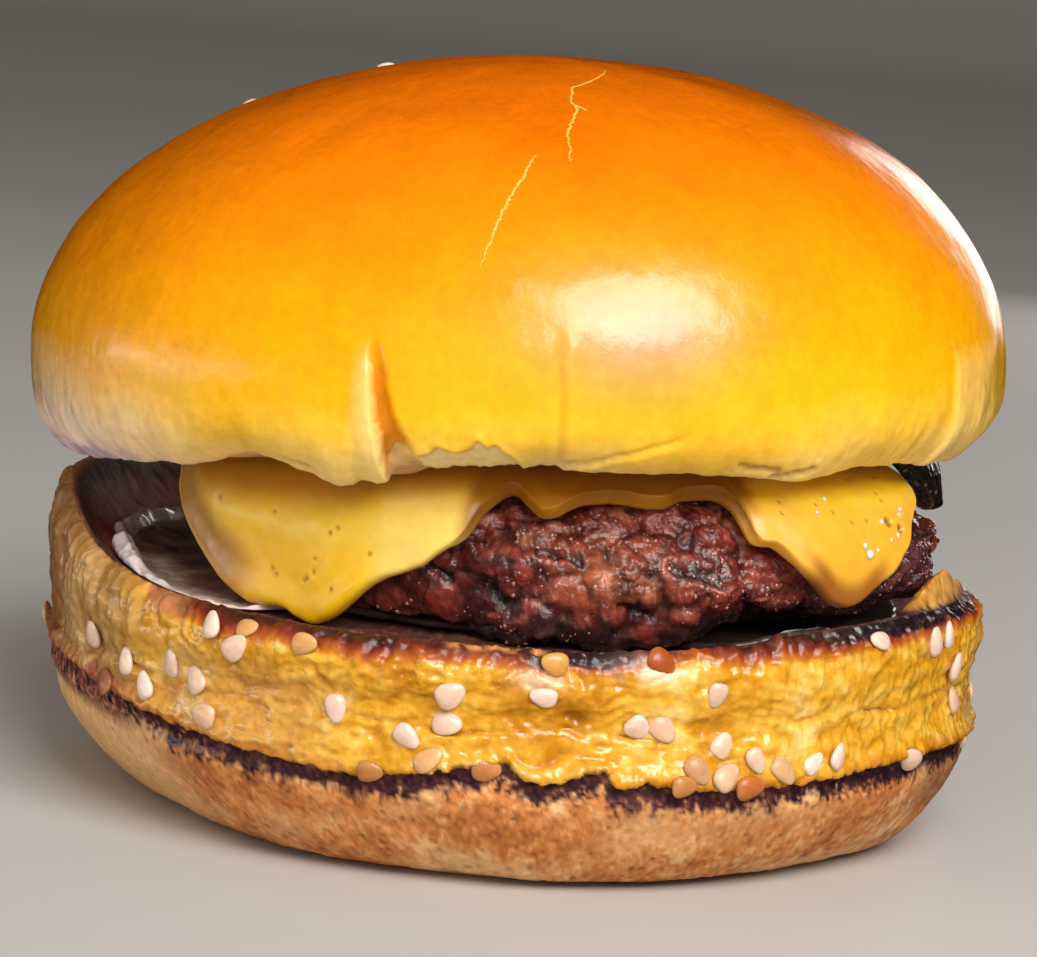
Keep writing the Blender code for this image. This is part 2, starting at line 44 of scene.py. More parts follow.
# The named values of the solids, as in the part's source.
CROWN_X, CROWN_Z, CROWN_RADIUS, CROWN_RISE = -0.3, 49.8, 54.1, 33.27
CROWN_RADII = [(-90, 54.1), (0, 53.0), (90, 54.1), (180, 52.9)]
CROWN_POWER, CROWN_TILT, RIM_RADIUS = 2.15, 3.95, 50.6
UNDERSIDE_RINGS = [(47.4, 1.2), (44.2, 3.0), (41.2, 4.6), (37.8, 6.0), (33.5, 6.0), (24.0, 6.0)]
UNDERSIDE_GAP = 0.65
CROWN_POWERS = [(-90, 2.06), (0, 2.13), (90, 2.13), (180, 2.12)]
CROWN_RIM = [(-90, 9.9), (-62, 8.7), (-47, 7.6), (-40, 7.3), (-33, 5.7), (-27, 6.6), (-20, 8.1),
             (-12, 6.5), (1, 5.9), (10, 6.3), (27, 7.3), (36, 8.0), (46, 7.4), (54, 7.6), (66, 8.2),
             (90, 8.3), (112, 8.4), (130, 7.4), (150, 8.0), (178, 7.1), (205, 8.2), (235, 8.9)]
PATTY_X, PATTY_TOP, PATTY_BOTTOM, PATTY_FLAT = 6.0, 40.7, 26.6, 34.7
PATTY_ROUND, PATTY_SHOULDER, PATTY_WAIST_Z = 8.4, 7.3, 31.5
PATTY_LUMP, PATTY_LUMP_SIZE = 2.6, 8.0
PATTY_SAG_AZIMUTH, PATTY_SAG_WIDTH, PATTY_SAG = 84.0, 38.0, 5.0
PATTY_BULGE, PATTY_BULGE_SPAN, PATTY_BULGE_LEVELS = 2.0, (-9.0, 20.0, 7.0), (26.0, 33.0, 3.0)
PATTY_DROOP, PATTY_DROOP_SPAN, PATTY_DROOP_START = 3.1, (-36.0, 16.0, 9.0), 37.8
CHEESE_THICK, CHEESE_FLAT, CHEESE_ROUND = 2.3, 35.0, 11.0
CHEESE_SHOULDER, CHEESE_TOP, CHEESE_LEVEL = 9.8, 43.3, 34.0
CHEESE_EDGE = [(-85, 41.0), (-76, 43.5), (-68, 47.4), (-63, 51.2), (-57, 54.4), (-53, 56.2), (-50, 57.4),
               (-46, 58.5), (-42, 58.8), (-38.5, 58.9), (-36, 59.8), (-34, 60.0), (-32, 59.3),
               (-30, 58.1), (-26.5, 55.6), (-23, 53.8), (-18.5, 52.2), (-15.5, 50.1), (-13, 48.2),
               (-11, 44.6), (-8, 41.8), (-4, 44.7), (-1.5, 44.4), (2.2, 42.4), (6, 41.6), (11, 42.3),
               (14, 42.0), (17, 40.6), (22, 40.3), (24, 41.8), (25.5, 46.5), (29, 47.7), (32.5, 50.0),
               (35.8, 52.4), (38, 53.8), (42, 54.2), (45, 52.6), (49.5, 50.6), (52.5, 48.7),
               (55.5, 46.2), (60, 43.5), (63, 39.5), (66, 35.5), (70, 35.0), (108, 35.0),
               (116, 37.5), (125, 46.0), (138, 53.5), (152, 47.0), (168, 42.5), (188, 42.0),
               (205, 46.0), (220, 53.0), (232, 56.0), (245, 50.0), (258, 43.0)]
HEEL_X, HEEL_CREST = 1.2, 26.4
HEEL_PROFILE = [(0.0, 24.2), (24.0, 24.2), (38.0, 24.2), (43.0, 24.35), (46.4, 24.9), (48.8, 25.8),
                (50.2, 26.4), (51.4, 25.8), (52.2, 24.0), (52.2, 21.6), (51.4, 18.8), (51.8, 15.8),
                (52.4, 13.4), (51.9, 11.8), (51.6, 9.8), (50.2, 6.8), (47.9, 3.6), (44.6, 1.0),
                (41.0, 0.0), (24.0, 0.0), (0.0, 0.0)]
CREST_INNER = [(38.0, 0.0), (43.0, 0.16), (46.4, 0.52), (48.8, 0.86), (50.2, 1.0)]
CREST_OUTER = [(17.0, 0.0), (18.8, 0.08), (21.6, 0.45), (24.0, 0.82), (25.8, 0.96), (26.4, 1.0)]
HEEL_RIM = [(-90, 33.2), (-80, 32.2), (-70, 30.0), (-60, 27.9), (-52, 26.7), (-40, 26.0), (-30, 25.7),
            (0, 25.7), (12, 25.8), (20, 26.2), (28, 26.8), (36, 27.6), (46, 28.3), (66, 28.6), (84, 28.0),
            (90, 27.0), (98, 26.2), (112, 26.0), (128, 26.2), (150, 26.4), (180, 26.8), (205, 27.2),
            (225, 29.6), (245, 32.4), (258, 33.3)]
HEEL_TUCK = [(-100, 1.4), (-80, 3.0), (-60, 3.2), (-46, 2.4), (-28, 0.3), (20, 0.0), (38, 1.1),
             (52, 0.9), (72, 0.0), (150, 0.6), (200, 0.2)]
TUCK_SHARE = [(0.0, 1.0), (3.6, 0.95), (6.8, 0.72), (9.8, 0.52), (13.4, 0.36), (15.8, 0.1), (18.0, 0.0)]
SAUCE_THICK, SAUCE_EDGE_THICK = 1.8, 0.8
SAUCE_EDGE = [(-75, 45.2), (-62, 47.8), (-50, 48.3), (-41, 47.4), (-38.3, 44.0), (-36, 38.5), (-32.5, 35.8),
              (-20, 35.6), (-14, 36.2), (12, 36.8), (20, 38.2), (25.5, 40.2), (30, 46.0), (38, 47.6),
              (48, 46.0), (70, 43.5), (100, 42.0), (135, 44.5), (165, 42.8), (200, 44.8), (235, 43.0),
              (262, 44.0)]
PICKLE_RADIUS, PICKLE_THICK, PICKLE_X, PICKLE_Y, PICKLE_Z = 11.5, 3.0, 41.0, -3.5, 44.3
PICKLE_BEND_START, PICKLE_BEND_RADIUS, PICKLE_BEND_ANGLE = 33.5, 5.5, 80.0
PICKLE_HOLLOW_TOP, PICKLE_HOLLOW_INNER, PICKLE_HOLLOW_OUTER = 48.3, 15.0, 22.0
SEED_LENGTH, SEED_WIDTH, SEED_THICK, SEED_SUNK, SEED_RANDOM = 3.1, 2.35, 1.25, 0.22, 4127
FRONT_SEEDS = [(-35.2, 24.3, -20), (-30.8, 24.4, 75), (-31.8, 22.5, 48), (-37.8, 18.1, -45),
               (-42.2, 19.2, 10), (-50.2, 18.0, -12), (-46.2, 16.1, -35), (-35.8, 14.8, -80),
               (-19.2, 17.8, 168), (-23.0, 24.1, 80), (-6.0, 20.8, 60), (-6.2, 17.7, 95),
               (-10.5, 16.1, 125), (-7.8, 14.0, 53), (4.0, 21.4, -80), (5.0, 24.7, -80),
               (15.0, 18.6, 130), (18.0, 18.4, 137), (23.8, 22.1, 188), (25.5, 16.7, 35),
               (22.2, 14.3, 140), (25.7, 13.7, 50), (29.5, 15.2, 150), (33.2, 14.0, 135),
               (38.0, 14.5, 55), (41.5, 15.0, 40), (47.0, 26.7, -80), (58.5, 25.8, -12),
               (63.0, 26.0, -18), (65.5, 22.3, 10), (68.0, 18.2, -28), (55.8, 13.5, -50),
               (81.0, 12.0, 80), (-58.5, 19.5, 2), (-54.2, 15.2, -55), (-90.0, 16.5, -45),
               (17.2, 25.2, 125), (-14.2, 12.3, 88), (-1.5, 13.6, 88), (20.5, 12.9, 86),
               (28.8, 12.6, 80)]
BACK_SEEDS, BACK_SEED_SPACING = 42, 5.2
CROWN_SEEDS = [(-122, 0.30), (164, 0.20), (128, 0.34), (-152, 0.46), (176, 0.52), (150, 0.66),
               (-128, 0.66), (-168, 0.78), (118, 0.72), (-104, 0.50), (-114, 0.86)]


# Numbers.

def smooth(t):
    t = np.clip(t, 0.0, 1.0)
    return t * t * (3.0 - 2.0 * t)


def band(value, low, high, soft):
    """One between low and high, falling to nought over soft outside them."""
    return smooth((value - low) / soft + 1.0) * smooth((high - value) / soft + 1.0)


def round_curve(table, azimuth):
    """Smooth curve through a table of (azimuth, value) that closes on itself."""
    keys = np.array([k for k, _ in table], float)
    vals = np.array([v for _, v in table], float)
    keys = np.concatenate([[keys[-1] - 360.0], keys, [keys[0] + 360.0, keys[1] + 360.0]])
    vals = np.concatenate([[vals[-1]], vals, [vals[0], vals[1]]])
    a = keys[1] + np.mod(azimuth - keys[1], 360.0)
    i = np.clip(np.searchsorted(keys, a, side="right") - 1, 1, len(keys) - 3)
    span = keys[i + 1] - keys[i]
    t = (a - keys[i]) / span
    m0 = (vals[i + 1] - vals[i - 1]) / (keys[i + 1] - keys[i - 1]) * span
    m1 = (vals[i + 2] - vals[i]) / (keys[i + 2] - keys[i]) * span
    t2, t3 = t * t, t * t * t
    return ((2 * t3 - 3 * t2 + 1) * vals[i] + (t3 - 2 * t2 + t) * m0
            + (3 * t2 - 2 * t3) * vals[i + 1] + (t3 - t2) * m1)


def lookup(table, key):
    return np.interp(key, [k for k, _ in table], [v for _, v in table])


def signed(azimuth):
    """The same azimuth between -180 and 180 degrees."""
    return (azimuth + 180.0) % 360.0 - 180.0


def gap_deg(a, b):
    return np.abs(signed(a - b))


def at(x, y, z):
    """Points from three grids or numbers."""
    return np.stack(np.broadcast_arrays(x, y, z), -1)


def mix(a, b, t):
    t = np.asarray(t)[..., None]
    return a * (1.0 - t) + b * t


def rgb(red, green, blue):
    """Linear colour of a screen colour given in 0 to 255."""
    c = np.array([red, green, blue]) / 255.0
    return np.where(c <= 0.04045, c / 12.92, ((c + 0.055) / 1.055) ** 2.4)


def ramp(stops, key):
    """Colour between stops of (key, (red, green, blue)) in screen values."""
    keys = [k for k, _ in stops]
    cols = np.array([rgb(*c) for _, c in stops])
    return np.stack([np.interp(key, keys, cols[:, i]) for i in range(3)], -1)


# Noise.

def lattice(ix, iy, iz, seed):
    h = (ix * 73856093) ^ (iy * 19349663) ^ (iz * 83492791) ^ (seed * 668265263)
    h = h & 0xffffffff
    h = ((h ^ (h >> 15)) * 2246822519) & 0xffffffff
    h = ((h ^ (h >> 13)) * 3266489917) & 0xffffffff
    return h ^ (h >> 16)


def perlin(p, seed=0):
    i = np.floor(p).astype(np.int64)
    f = p - i
    u = f * f * f * (f * (f * 6.0 - 15.0) + 10.0)
    total = np.zeros(p.shape[:-1])
    for dx in (0, 1):
        wx = u[..., 0] if dx else 1.0 - u[..., 0]
        for dy in (0, 1):
            wy = u[..., 1] if dy else 1.0 - u[..., 1]
            for dz in (0, 1):
                wz = u[..., 2] if dz else 1.0 - u[..., 2]
                h = lattice(i[..., 0] + dx, i[..., 1] + dy, i[..., 2] + dz, seed)
                gx = (h & 1023) / 511.5 - 1.0
                gy = ((h >> 10) & 1023) / 511.5 - 1.0
                gz = ((h >> 20) & 1023) / 511.5 - 1.0
                dot = gx * (f[..., 0] - dx) + gy * (f[..., 1] - dy) + gz * (f[..., 2] - dz)
                total += wx * wy * wz * dot
    return total * 1.4


def fbm(p, octaves=4, seed=0, gain=0.5):
    total, size = 0.0, 1.0
    for k in range(octaves):
        total = total + size * perlin(p * 2.03 ** k + 17.3 * k, seed + k)
        size *= gain
    return total


def cells(p, seed=0):
    """Distances to the nearest and second nearest cell point, and the nearest cell's draw."""
    i = np.floor(p).astype(np.int64)
    f1 = np.full(p.shape[:-1], 9.0)
    f2 = np.full(p.shape[:-1], 9.0)
    own = np.zeros(p.shape[:-1])
    for dx in (-1, 0, 1):
        for dy in (-1, 0, 1):
            for dz in (-1, 0, 1):
                cx, cy, cz = i[..., 0] + dx, i[..., 1] + dy, i[..., 2] + dz
                h = lattice(cx, cy, cz, seed)
                d = np.sqrt((cx + (h & 1023) / 1023.0 - p[..., 0]) ** 2
                            + (cy + ((h >> 10) & 1023) / 1023.0 - p[..., 1]) ** 2
                            + (cz + ((h >> 20) & 1023) / 1023.0 - p[..., 2]) ** 2)
                near = d < f1
                f2 = np.where(near, f1, np.minimum(f2, d))
                own = np.where(near, ((h >> 5) & 4095) / 4095.0, own)
                f1 = np.where(near, d, f1)
    return f1, f2, own


# Grids and meshes.

# Share of the columns in front and the azimuth up to which they are close, for the layers between.
FRONT_SHARE = (0.66, 74.0)


def columns(count, front=0.62, half=76.0):
    """Azimuths of a ring, closer together at the front."""
    fine = int(count * front)
    a = np.linspace(-half, half, fine, endpoint=False)
    b = np.linspace(half, 360.0 - half, count - fine, endpoint=False)
    return np.concatenate([a, b])


def polar(centre_x, radius, azimuth, height):
    angle = np.radians(azimuth)
    x = centre_x + radius * np.sin(angle)
    y = -radius * np.cos(angle)
    return at(x, y, height)


def grid_normals(points):
    right = np.roll(points, -1, 1) - np.roll(points, 1, 1)
    down = np.empty_like(points)
    down[1:-1] = points[2:] - points[:-2]
    down[0] = points[1] - points[0]
    down[-1] = points[-1] - points[-2]
    n = np.cross(down, right)
    size = np.linalg.norm(n, axis=-1, keepdims=True)
    return n / np.maximum(size, 1e-9)


def pack(grid):
    """Values of a grid in the order of its mesh: pole, rings, pole."""
    return np.concatenate([grid[:1, 0], grid[1:-1].reshape((-1,) + grid.shape[2:]), grid[-1:, 0]])


def grid_faces(rings, cols, start=0, flip=False):
    """Faces of a pole, rings and a pole whose points are counted from start."""
    index = start + 1 + np.arange(rings * cols).reshape(rings, cols)
    nxt = np.roll(index, -1, 1)
    if flip:
        index, nxt = nxt, index
    last = start + 1 + rings * cols
    faces = [(start, a, b) for a, b in zip(index[0].tolist(), nxt[0].tolist())]
    faces += np.stack([index[:-1], index[1:], nxt[1:], nxt[:-1]], -1).reshape(-1, 4).tolist()
    faces += [(a, last, b) for a, b in zip(index[-1].tolist(), nxt[-1].tolist())]
    return faces


def grid_mesh(name, points, body="root"):
    """Closed mesh of a grid whose first and last rows are poles."""
    rows, cols = points.shape[:2]
    return mesh_piece(name, pack(points), grid_faces(rows - 2, cols), body)


def mesh_piece(name, points, faces, body="root"):
    mesh = bpy.data.meshes.new(name)
    mesh.from_pydata((np.asarray(points) * MM).tolist(), [], faces)
    mesh.polygons.foreach_set("use_smooth", [True] * len(mesh.polygons))
    mesh.update()
    piece = bpy.data.objects.new(name, mesh)
    bpy.context.scene.collection.objects.link(piece)
    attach(piece, body)
    return piece


def paint(piece, **layers):
    """Store colours (last axis three) and single values on the vertices."""
    for name, values in layers.items():
        values = np.asarray(values, float)
        if values.ndim == 2:
            layer = piece.data.attributes.new(name, "FLOAT_COLOR", "POINT")
            flat = np.concatenate([values, np.ones((len(values), 1))], 1)
            layer.data.foreach_set("color", flat.astype(np.float32).ravel())
        else:
            layer = piece.data.attributes.new(name, "FLOAT", "POINT")
            layer.data.foreach_set("value", values.astype(np.float32))


# Materials.

def attribute(tree, name):
    made = tree.nodes.new("ShaderNodeAttribute")
    made.attribute_name = name
    return made


def noise_node(tree, scale, detail, rough):
    place = tree.nodes.new("ShaderNodeTexCoord")
    made = tree.nodes.new("ShaderNodeTexNoise")
    made.inputs["Scale"].default_value = scale
    made.inputs["Detail"].default_value = detail
    made.inputs["Roughness"].default_value = rough
    tree.links.new(place.outputs["Object"], made.inputs["Vector"])
    return made


def math_node(tree, kind, a, b):
    made = tree.nodes.new("ShaderNodeMath")
    made.operation = kind
    for place, value in enumerate((a, b)):
        if isinstance(value, float):
            made.inputs[place].default_value = value
        else:
            tree.links.new(value, made.inputs[place])
    return made.outputs[0]


def span(tree, socket, low, high, to_low, to_high):
    made = tree.nodes.new("ShaderNodeMapRange")
    for place, value in enumerate((low, high, to_low, to_high)):
        made.inputs[place + 1].default_value = value
    tree.links.new(socket, made.inputs[0])
    return made.outputs[0]


def mix_colour(tree, blend, amount, a, b):
    made = tree.nodes.new("ShaderNodeMix")
    made.data_type = "RGBA"
    made.blend_type = blend
    if isinstance(amount, float):
        made.inputs["Factor"].default_value = amount
    else:
        tree.links.new(amount, made.inputs["Factor"])
    for place, value in ((6, a), (7, b)):
        if isinstance(value, tuple):
            made.inputs[place].default_value = value
        else:
            tree.links.new(value, made.inputs[place])
    return made.outputs[2]


def food_material(name, tints, bumps, rough_noise, coat, coat_rough, subsurface=0.0,
                  glow_radius=(1.0, 0.4, 0.2), glow_scale=0.002, specular=0.5):
    """Painted surface: vertex colours with finer noise, bumps and uneven gloss over them.

    Tints are (noise scale, lowest and highest shade, detail), bumps (noise scale, height in mm, detail)
    and rough_noise is (noise scale, swing). A coat is a share, or "layer" where it is painted too.
    """
    made = bpy.data.materials.new(name)
    made.use_nodes = True
    tree = made.node_tree
    shader = tree.nodes["Principled BSDF"]
    colour = attribute(tree, "paint").outputs["Color"]
    for scale, low, high, detail in tints:
        grain = noise_node(tree, scale, detail, 0.6)
        shade = span(tree, grain.outputs["Fac"], 0.3, 0.7, low, high)
        colour = mix_colour(tree, "MULTIPLY", 1.0, colour, shade)
    tree.links.new(colour, shader.inputs["Base Color"])
    grain = noise_node(tree, rough_noise[0], 3.0, 0.55)
    swing = span(tree, grain.outputs["Fac"], 0.3, 0.7, -rough_noise[1], rough_noise[1])
    tree.links.new(math_node(tree, "ADD", attribute(tree, "rough").outputs["Fac"], swing),
                   shader.inputs["Roughness"])
    height = None
    for scale, strength, detail in bumps:
        grain = noise_node(tree, scale, detail, 0.6)
        bump = tree.nodes.new("ShaderNodeBump")
        bump.inputs["Strength"].default_value = 1.0
        bump.inputs["Distance"].default_value = strength * MM
        tree.links.new(grain.outputs["Fac"], bump.inputs["Height"])
        if height:
            tree.links.new(height, bump.inputs["Normal"])
        height = bump.outputs["Normal"]
    tree.links.new(height, shader.inputs["Normal"])
    shader.inputs["Coat Roughness"].default_value = coat_rough
    if coat == "layer":
        tree.links.new(attribute(tree, "coat").outputs["Fac"], shader.inputs["Coat Weight"])
        tree.links.new(height, shader.inputs["Coat Normal"])
    else:
        shader.inputs["Coat Weight"].default_value = coat
    shader.inputs["Specular IOR Level"].default_value = specular
    if subsurface:
        shader.inputs["Subsurface Weight"].default_value = subsurface
        shader.inputs["Subsurface Radius"].default_value = glow_radius
        shader.inputs["Subsurface Scale"].default_value = glow_scale
    return made


def dress(piece, material, node_name=None):
    piece.data.materials.append(material)
    if node_name:
        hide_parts(node_name)


# Crown.

def cheese_cover(radius):
    share = np.clip((radius - CHEESE_FLAT) / CHEESE_ROUND, 0.0, 1.0)
    cover = CHEESE_TOP - CHEESE_SHOULDER * (1.0 - np.sqrt(1.0 - share * share))
    return np.where(radius >= CHEESE_FLAT + CHEESE_ROUND, -1.0, cover)


def crown_rim_height(azimuth):
    tilt = math.radians(CROWN_TILT)
    x = RIM_RADIUS * np.sin(np.radians(azimuth))
    return CROWN_Z + x * math.sin(tilt) - round_curve(CROWN_RIM, azimuth) * math.cos(tilt)


def crown_underside(x, y, azimuth):
    level = crown_rim_height(azimuth) + 0.35
    level = np.maximum(level, cheese_cover(np.hypot(x - PATTY_X, y)) + UNDERSIDE_GAP)
    away = np.hypot(x - PICKLE_X, y - PICKLE_Y)
    share = (PICKLE_HOLLOW_OUTER - away) / (PICKLE_HOLLOW_OUTER - PICKLE_HOLLOW_INNER)
    return level + np.maximum(0.0, PICKLE_HOLLOW_TOP - level) * smooth(share)


def tilt_crown(p):
    t = math.radians(CROWN_TILT)
    x = p[..., 0] * math.cos(t) - p[..., 2] * math.sin(t)
    z = p[..., 0] * math.sin(t) + p[..., 2] * math.cos(t)
    return at(x + CROWN_X, p[..., 1], z + CROWN_Z)


# Lines on the crown as (azimuth, height above the widest line).
TEAR = [(-8.5, -14.9), (-7.5, -14.9), (-4.3, -14.8), (-1.3, -15.3), (2.7, -15.6), (6.5, -15.9)]
FLAP_EDGE = [(-14.6, -8.6), (-14.2, -7.0), (-13.2, -5.4), (-11.5, -5.0), (-9.2, -4.9), (-8.2, -4.0),
             (-7.2, -4.4), (-6.2, -4.7), (-4.8, -4.2), (-3.6, -3.2), (-2.8, -4.0), (-1.8, -3.5),
             (-0.9, -4.6), (0.2, -5.2), (1.4, -6.6), (2.2, -8.6)]


CROWN_COLUMNS, CROWN_ROWS, RIM_STEPS = 800, 86, 23
# The rim draws in by this share of the radius at its foot, and rolls under in a few rings.
RIM_TUCK, RIM_TUCK_POWER = 0.0647, 3.2
RIM_ROLL = [(50.15, 0.28), (49.5, 0.38), (48.8, 0.3), (48.1, 0.05)]
# Depth and width of the tear by height, in mm and in degrees.
TEAR_DEPTH = [(-9, 2.0), (-5, 2.3), (0, 1.6), (4, 0.9), (6.8, 0.0)]
TEAR_WIDTH = [(-9, 2.5), (-5, 2.1), (0, 1.3), (5, 0.9), (7, 0.6)]
# Height of the fold right of the tear, by azimuth.
FOLD = [(5.2, -6.0), (9.0, -5.6), (13.5, -4.5), (19.5, -3.0)]
# Slits as two azimuths, two heights and a half width.
SLITS = [(26.0, 32.5, -6.3, -7.2, 0.24), (31.0, 37.0, -7.9, -7.0, 0.2), (-28.0, -23.0, -5.9, -7.0, 0.12)]
# Blisters as azimuth, height, size and rise.
BLISTERS = [(0.5, 19.1, 0.8, 0.26), (18.1, 16.0, 0.6, 0.22), (8.4, 16.6, 0.45, 0.15),
            (24.5, -2.2, 0.55, 0.16), (-13.8, 10.0, 0.75, 0.18), (-11.2, 10.3, 0.95, 0.2),
            (-8.7, 13.4, 0.8, 0.18), (22.0, 12.0, 0.4, 0.12), (31.0, 8.0, 0.45, 0.12),
            (-30.0, 4.0, 0.5, 0.12), (-37.0, -2.0, 0.6, 0.14)]


def make_crown():
    az = columns(CROWN_COLUMNS)
    t = np.linspace(0.0, 1.0, CROWN_ROWS) ** 0.92 * math.pi / 2.0
    z_dome = CROWN_RISE * np.maximum(np.cos(t), 0.0) ** (2.0 / CROWN_POWER)
    power = round_curve(CROWN_POWERS, az)
    widest = round_curve(CROWN_RADII, az)
    rim = round_curve(CROWN_RIM, az)
    rag = 0.35 * fbm(polar(0, 54, az, 0) / 2.6, 4, 11) + 0.2 * fbm(polar(0, 54, az, 0) / 7.0, 2, 12)
    torn = smooth((gap_deg(az, -8.0) - 16.0) / -8.0)
    rim = rim + rag * (0.45 + 0.9 * torn)
    rows_r = [widest * (1.0 - min(1.0, z / CROWN_RISE) ** power) ** (1.0 / power) for z in z_dome]
    rows_z = [np.full_like(az, z) for z in z_dome]
    for step in np.linspace(0.0, 1.0, RIM_STEPS)[1:]:
        rows_r.append(widest * (1.0 - RIM_TUCK * step ** RIM_TUCK_POWER))
        rows_z.append(-rim * step)
    for out, drop in RIM_ROLL:
        rows_r.append(widest * (out / CROWN_RADIUS))
        rows_z.append(-rim - drop)
    local = polar(0.0, np.array(rows_r), az[None, :], np.array(rows_z))
    height = local[..., 2]
    world = tilt_crown(local)
    outer = len(world)
    reach = [47.4, 46.0, 44.2, 42.7, 41.2, 39.5, 37.8, 35.6, 33.5, 28.0, 20.0, 8.0, 0.0]
    centre = lookup(UNDERSIDE_RINGS[::-1], reach)
    under = []
    for r, c in zip(reach, centre):
        flat = polar(c, r, az, 0.0)
        flat[..., 2] = crown_underside(flat[..., 0], flat[..., 1], az if r > 0 else 0.0 * az)
        under.append(flat)
    world = np.concatenate([world, np.array(under)])
    normal = grid_normals(world)
    full_az = np.broadcast_to(az, world.shape[:2])
    h = np.full(world.shape[:2], -30.0)
    h[:outer] = height
    skin = np.zeros(world.shape[:2])
    skin[:outer] = smooth((outer - np.arange(outer)) / 5.0)[:, None]

    # Broad unevenness, orange-peel grain and small blisters.
    d = 0.32 * fbm(world / 19.0, 3, 3) * skin
    d += 0.035 * fbm(world / 1.6, 3, 4) * skin
    low = smooth((2.0 - h) / 8.0)
    d += 0.22 * low * skin * fbm(at(full_az / 3.2, h / 6.0, 0.0), 3, 6)
    # The tear at the left of the middle: a sharp lobe edge and a recess to its right.
    line = lookup(TEAR, h)
    line = line + 0.22 * perlin(at(0.0, h / 1.3, 0.0), 21)
    deep = lookup(TEAR_DEPTH, h) * skin
    wide = lookup(TEAR_WIDTH, h)
    u = (full_az - line) / wide
    recess = np.where(u < 0, 0.0, smooth(u / 0.16)) * smooth((2.1 - u) / 1.2)
    tear = deep * recess
    lobe = 0.45 * smooth((7.0 - h) / 6.0) * smooth(1.0 + u / 3.0) * (u < 0.08) * skin
    d += lobe * (h > -12) - tear
    # Torn skin between the tear and the crease: a pale flake edge.
    edge = lookup(FLAP_EDGE, full_az)
    edge = edge + 0.25 * perlin(at(full_az / 0.9, 0.0, 0.0), 22)
    inside = (full_az > -14.7) & (full_az < 2.3)
    flake = smooth((edge - h) / 0.35) * inside * skin
    d += -0.42 * flake + 0.16 * flake * fbm(world / 0.9, 3, 23)
    d += 0.22 * smooth((h - edge + 0.2) / 0.3) * smooth((edge + 1.2 - h) / 1.1) * inside * skin
    # The soft crease, the fold right of it, the slits and the raised strip at the right.
    crease = np.exp(-((full_az - 4.9 - 0.1 * np.sin(h)) / 0.42) ** 2) * band(h, -8.0, 5.0, 3.0)
    d -= 0.3 * crease * skin
    d += 0.16 * np.exp(-((full_az - 6.1) / 0.5) ** 2) * band(h, -8.0, 5.0, 3.0) * skin
    fold_z = lookup(FOLD, full_az)
    fold = band(full_az, 6.0, 18.0, 1.5) * skin
    d -= 0.3 * np.exp(-((h - fold_z) / 0.22) ** 2) * fold
    d += 0.22 * smooth((fold_z - h) / 0.5) * fold
    slit = np.zeros_like(d)
    for a0, a1, z0, z1, w in SLITS:
        mid = np.interp(full_az, [a0, a1], [z0, z1]) + 0.18 * perlin(at(full_az / 1.1, 0.0, 0.0), 31)
        slit += np.exp(-((h - mid) / w) ** 2) * band(full_az, a0 + 0.8, a1 - 0.8, 0.9)
    d -= 0.75 * slit * skin
    strip = smooth((full_az - 58.3) / 0.5) * smooth((76.0 - full_az) / 10.0)
    d += 0.42 * strip * band(h, -9.0, 1.5, 3.0) * skin
    for a, z, size, rise in BLISTERS:
        spot = polar(0.0, 1.0, a, 0.0)
        ring = CROWN_RADIUS * max(0.02, 1.0 - (max(z, 0.0) / CROWN_RISE) ** CROWN_POWER) ** (1 / CROWN_POWER)
        place = tilt_crown(np.array([spot[0] * ring, spot[1] * ring, z]))
        away = np.linalg.norm(world - place, axis=-1) / size
        d += rise * np.exp(-away ** 2) * skin
    # The cut face keeps clear of what lies under it: its crumb only sinks into the bread.
    crumb = (1.0 - skin) * np.abs(fbm(world / 2.2, 3, 8)) * 0.5
    d -= crumb * (h < -12)
    world = world + normal * d[..., None]

    crown = grid_mesh("crown_crust", world)
    # Bake: dark orange on top, gold on the flank, cream at the rolled rim.
    mottle = fbm(world / 14.0, 4, 41)
    fine = fbm(world / 3.0, 4, 42)
    bake = h + 2.6 * mottle + 0.9 * fine
    colour = ramp([(-9.5, (250, 216, 140)), (-6.5, (250, 208, 104)), (-3.5, (250, 196, 56)),
                   (0.0, (250, 184, 14)), (6.0, (250, 170, 2)), (13.0, (248, 152, 2)),
                   (20.0, (244, 134, 2)), (26.0, (238, 120, 2)), (33.0, (232, 108, 2))], bake)
    left = smooth((gap_deg(full_az, -88.0) - 58.0) / -38.0)
    # Paler beige at the left flank: partly the crust's own tone, partly a painted sheen on the low left.
    beige = ramp([(-9, (246, 212, 204)), (-5, (255, 230, 214)), (-1, (250, 206, 150)), (4, (226, 150, 20)),
                  (12, (218, 128, 2)), (33, (214, 98, 2))], h + 1.5 * mottle)
    colour = mix(colour, beige, 0.82 * left)
    # Painted light: a mottled pale mauve patch on the low left rim stands in for bluish fill light there.
    bruise = smooth((gap_deg(full_az, -76.0) - 34.0) / -16.0) * smooth((-6.8 - h - 1.2 * fine) / 1.6)
    blotch = 0.55 + 0.45 * smooth(2.4 * fine + 0.4)
    colour = mix(colour, rgb(236, 210, 226) * blotch[..., None], 0.9 * bruise * skin)
    colour = mix(colour, rgb(255, 226, 156), 0.85 * flake)
    # Painted shade: darker orange down in the tear's recess.
    colour = mix(colour, rgb(226, 138, 20), 0.8 * smooth(tear / 1.4) * (1 - flake))
    pale = 0.55 * smooth(1.0 + u / 2.2) * (u < 0.1) * smooth((6.5 - h) / 3.0) * smooth((h + 10) / 2.0)
    colour = mix(colour, rgb(250, 224, 150), pale * skin)
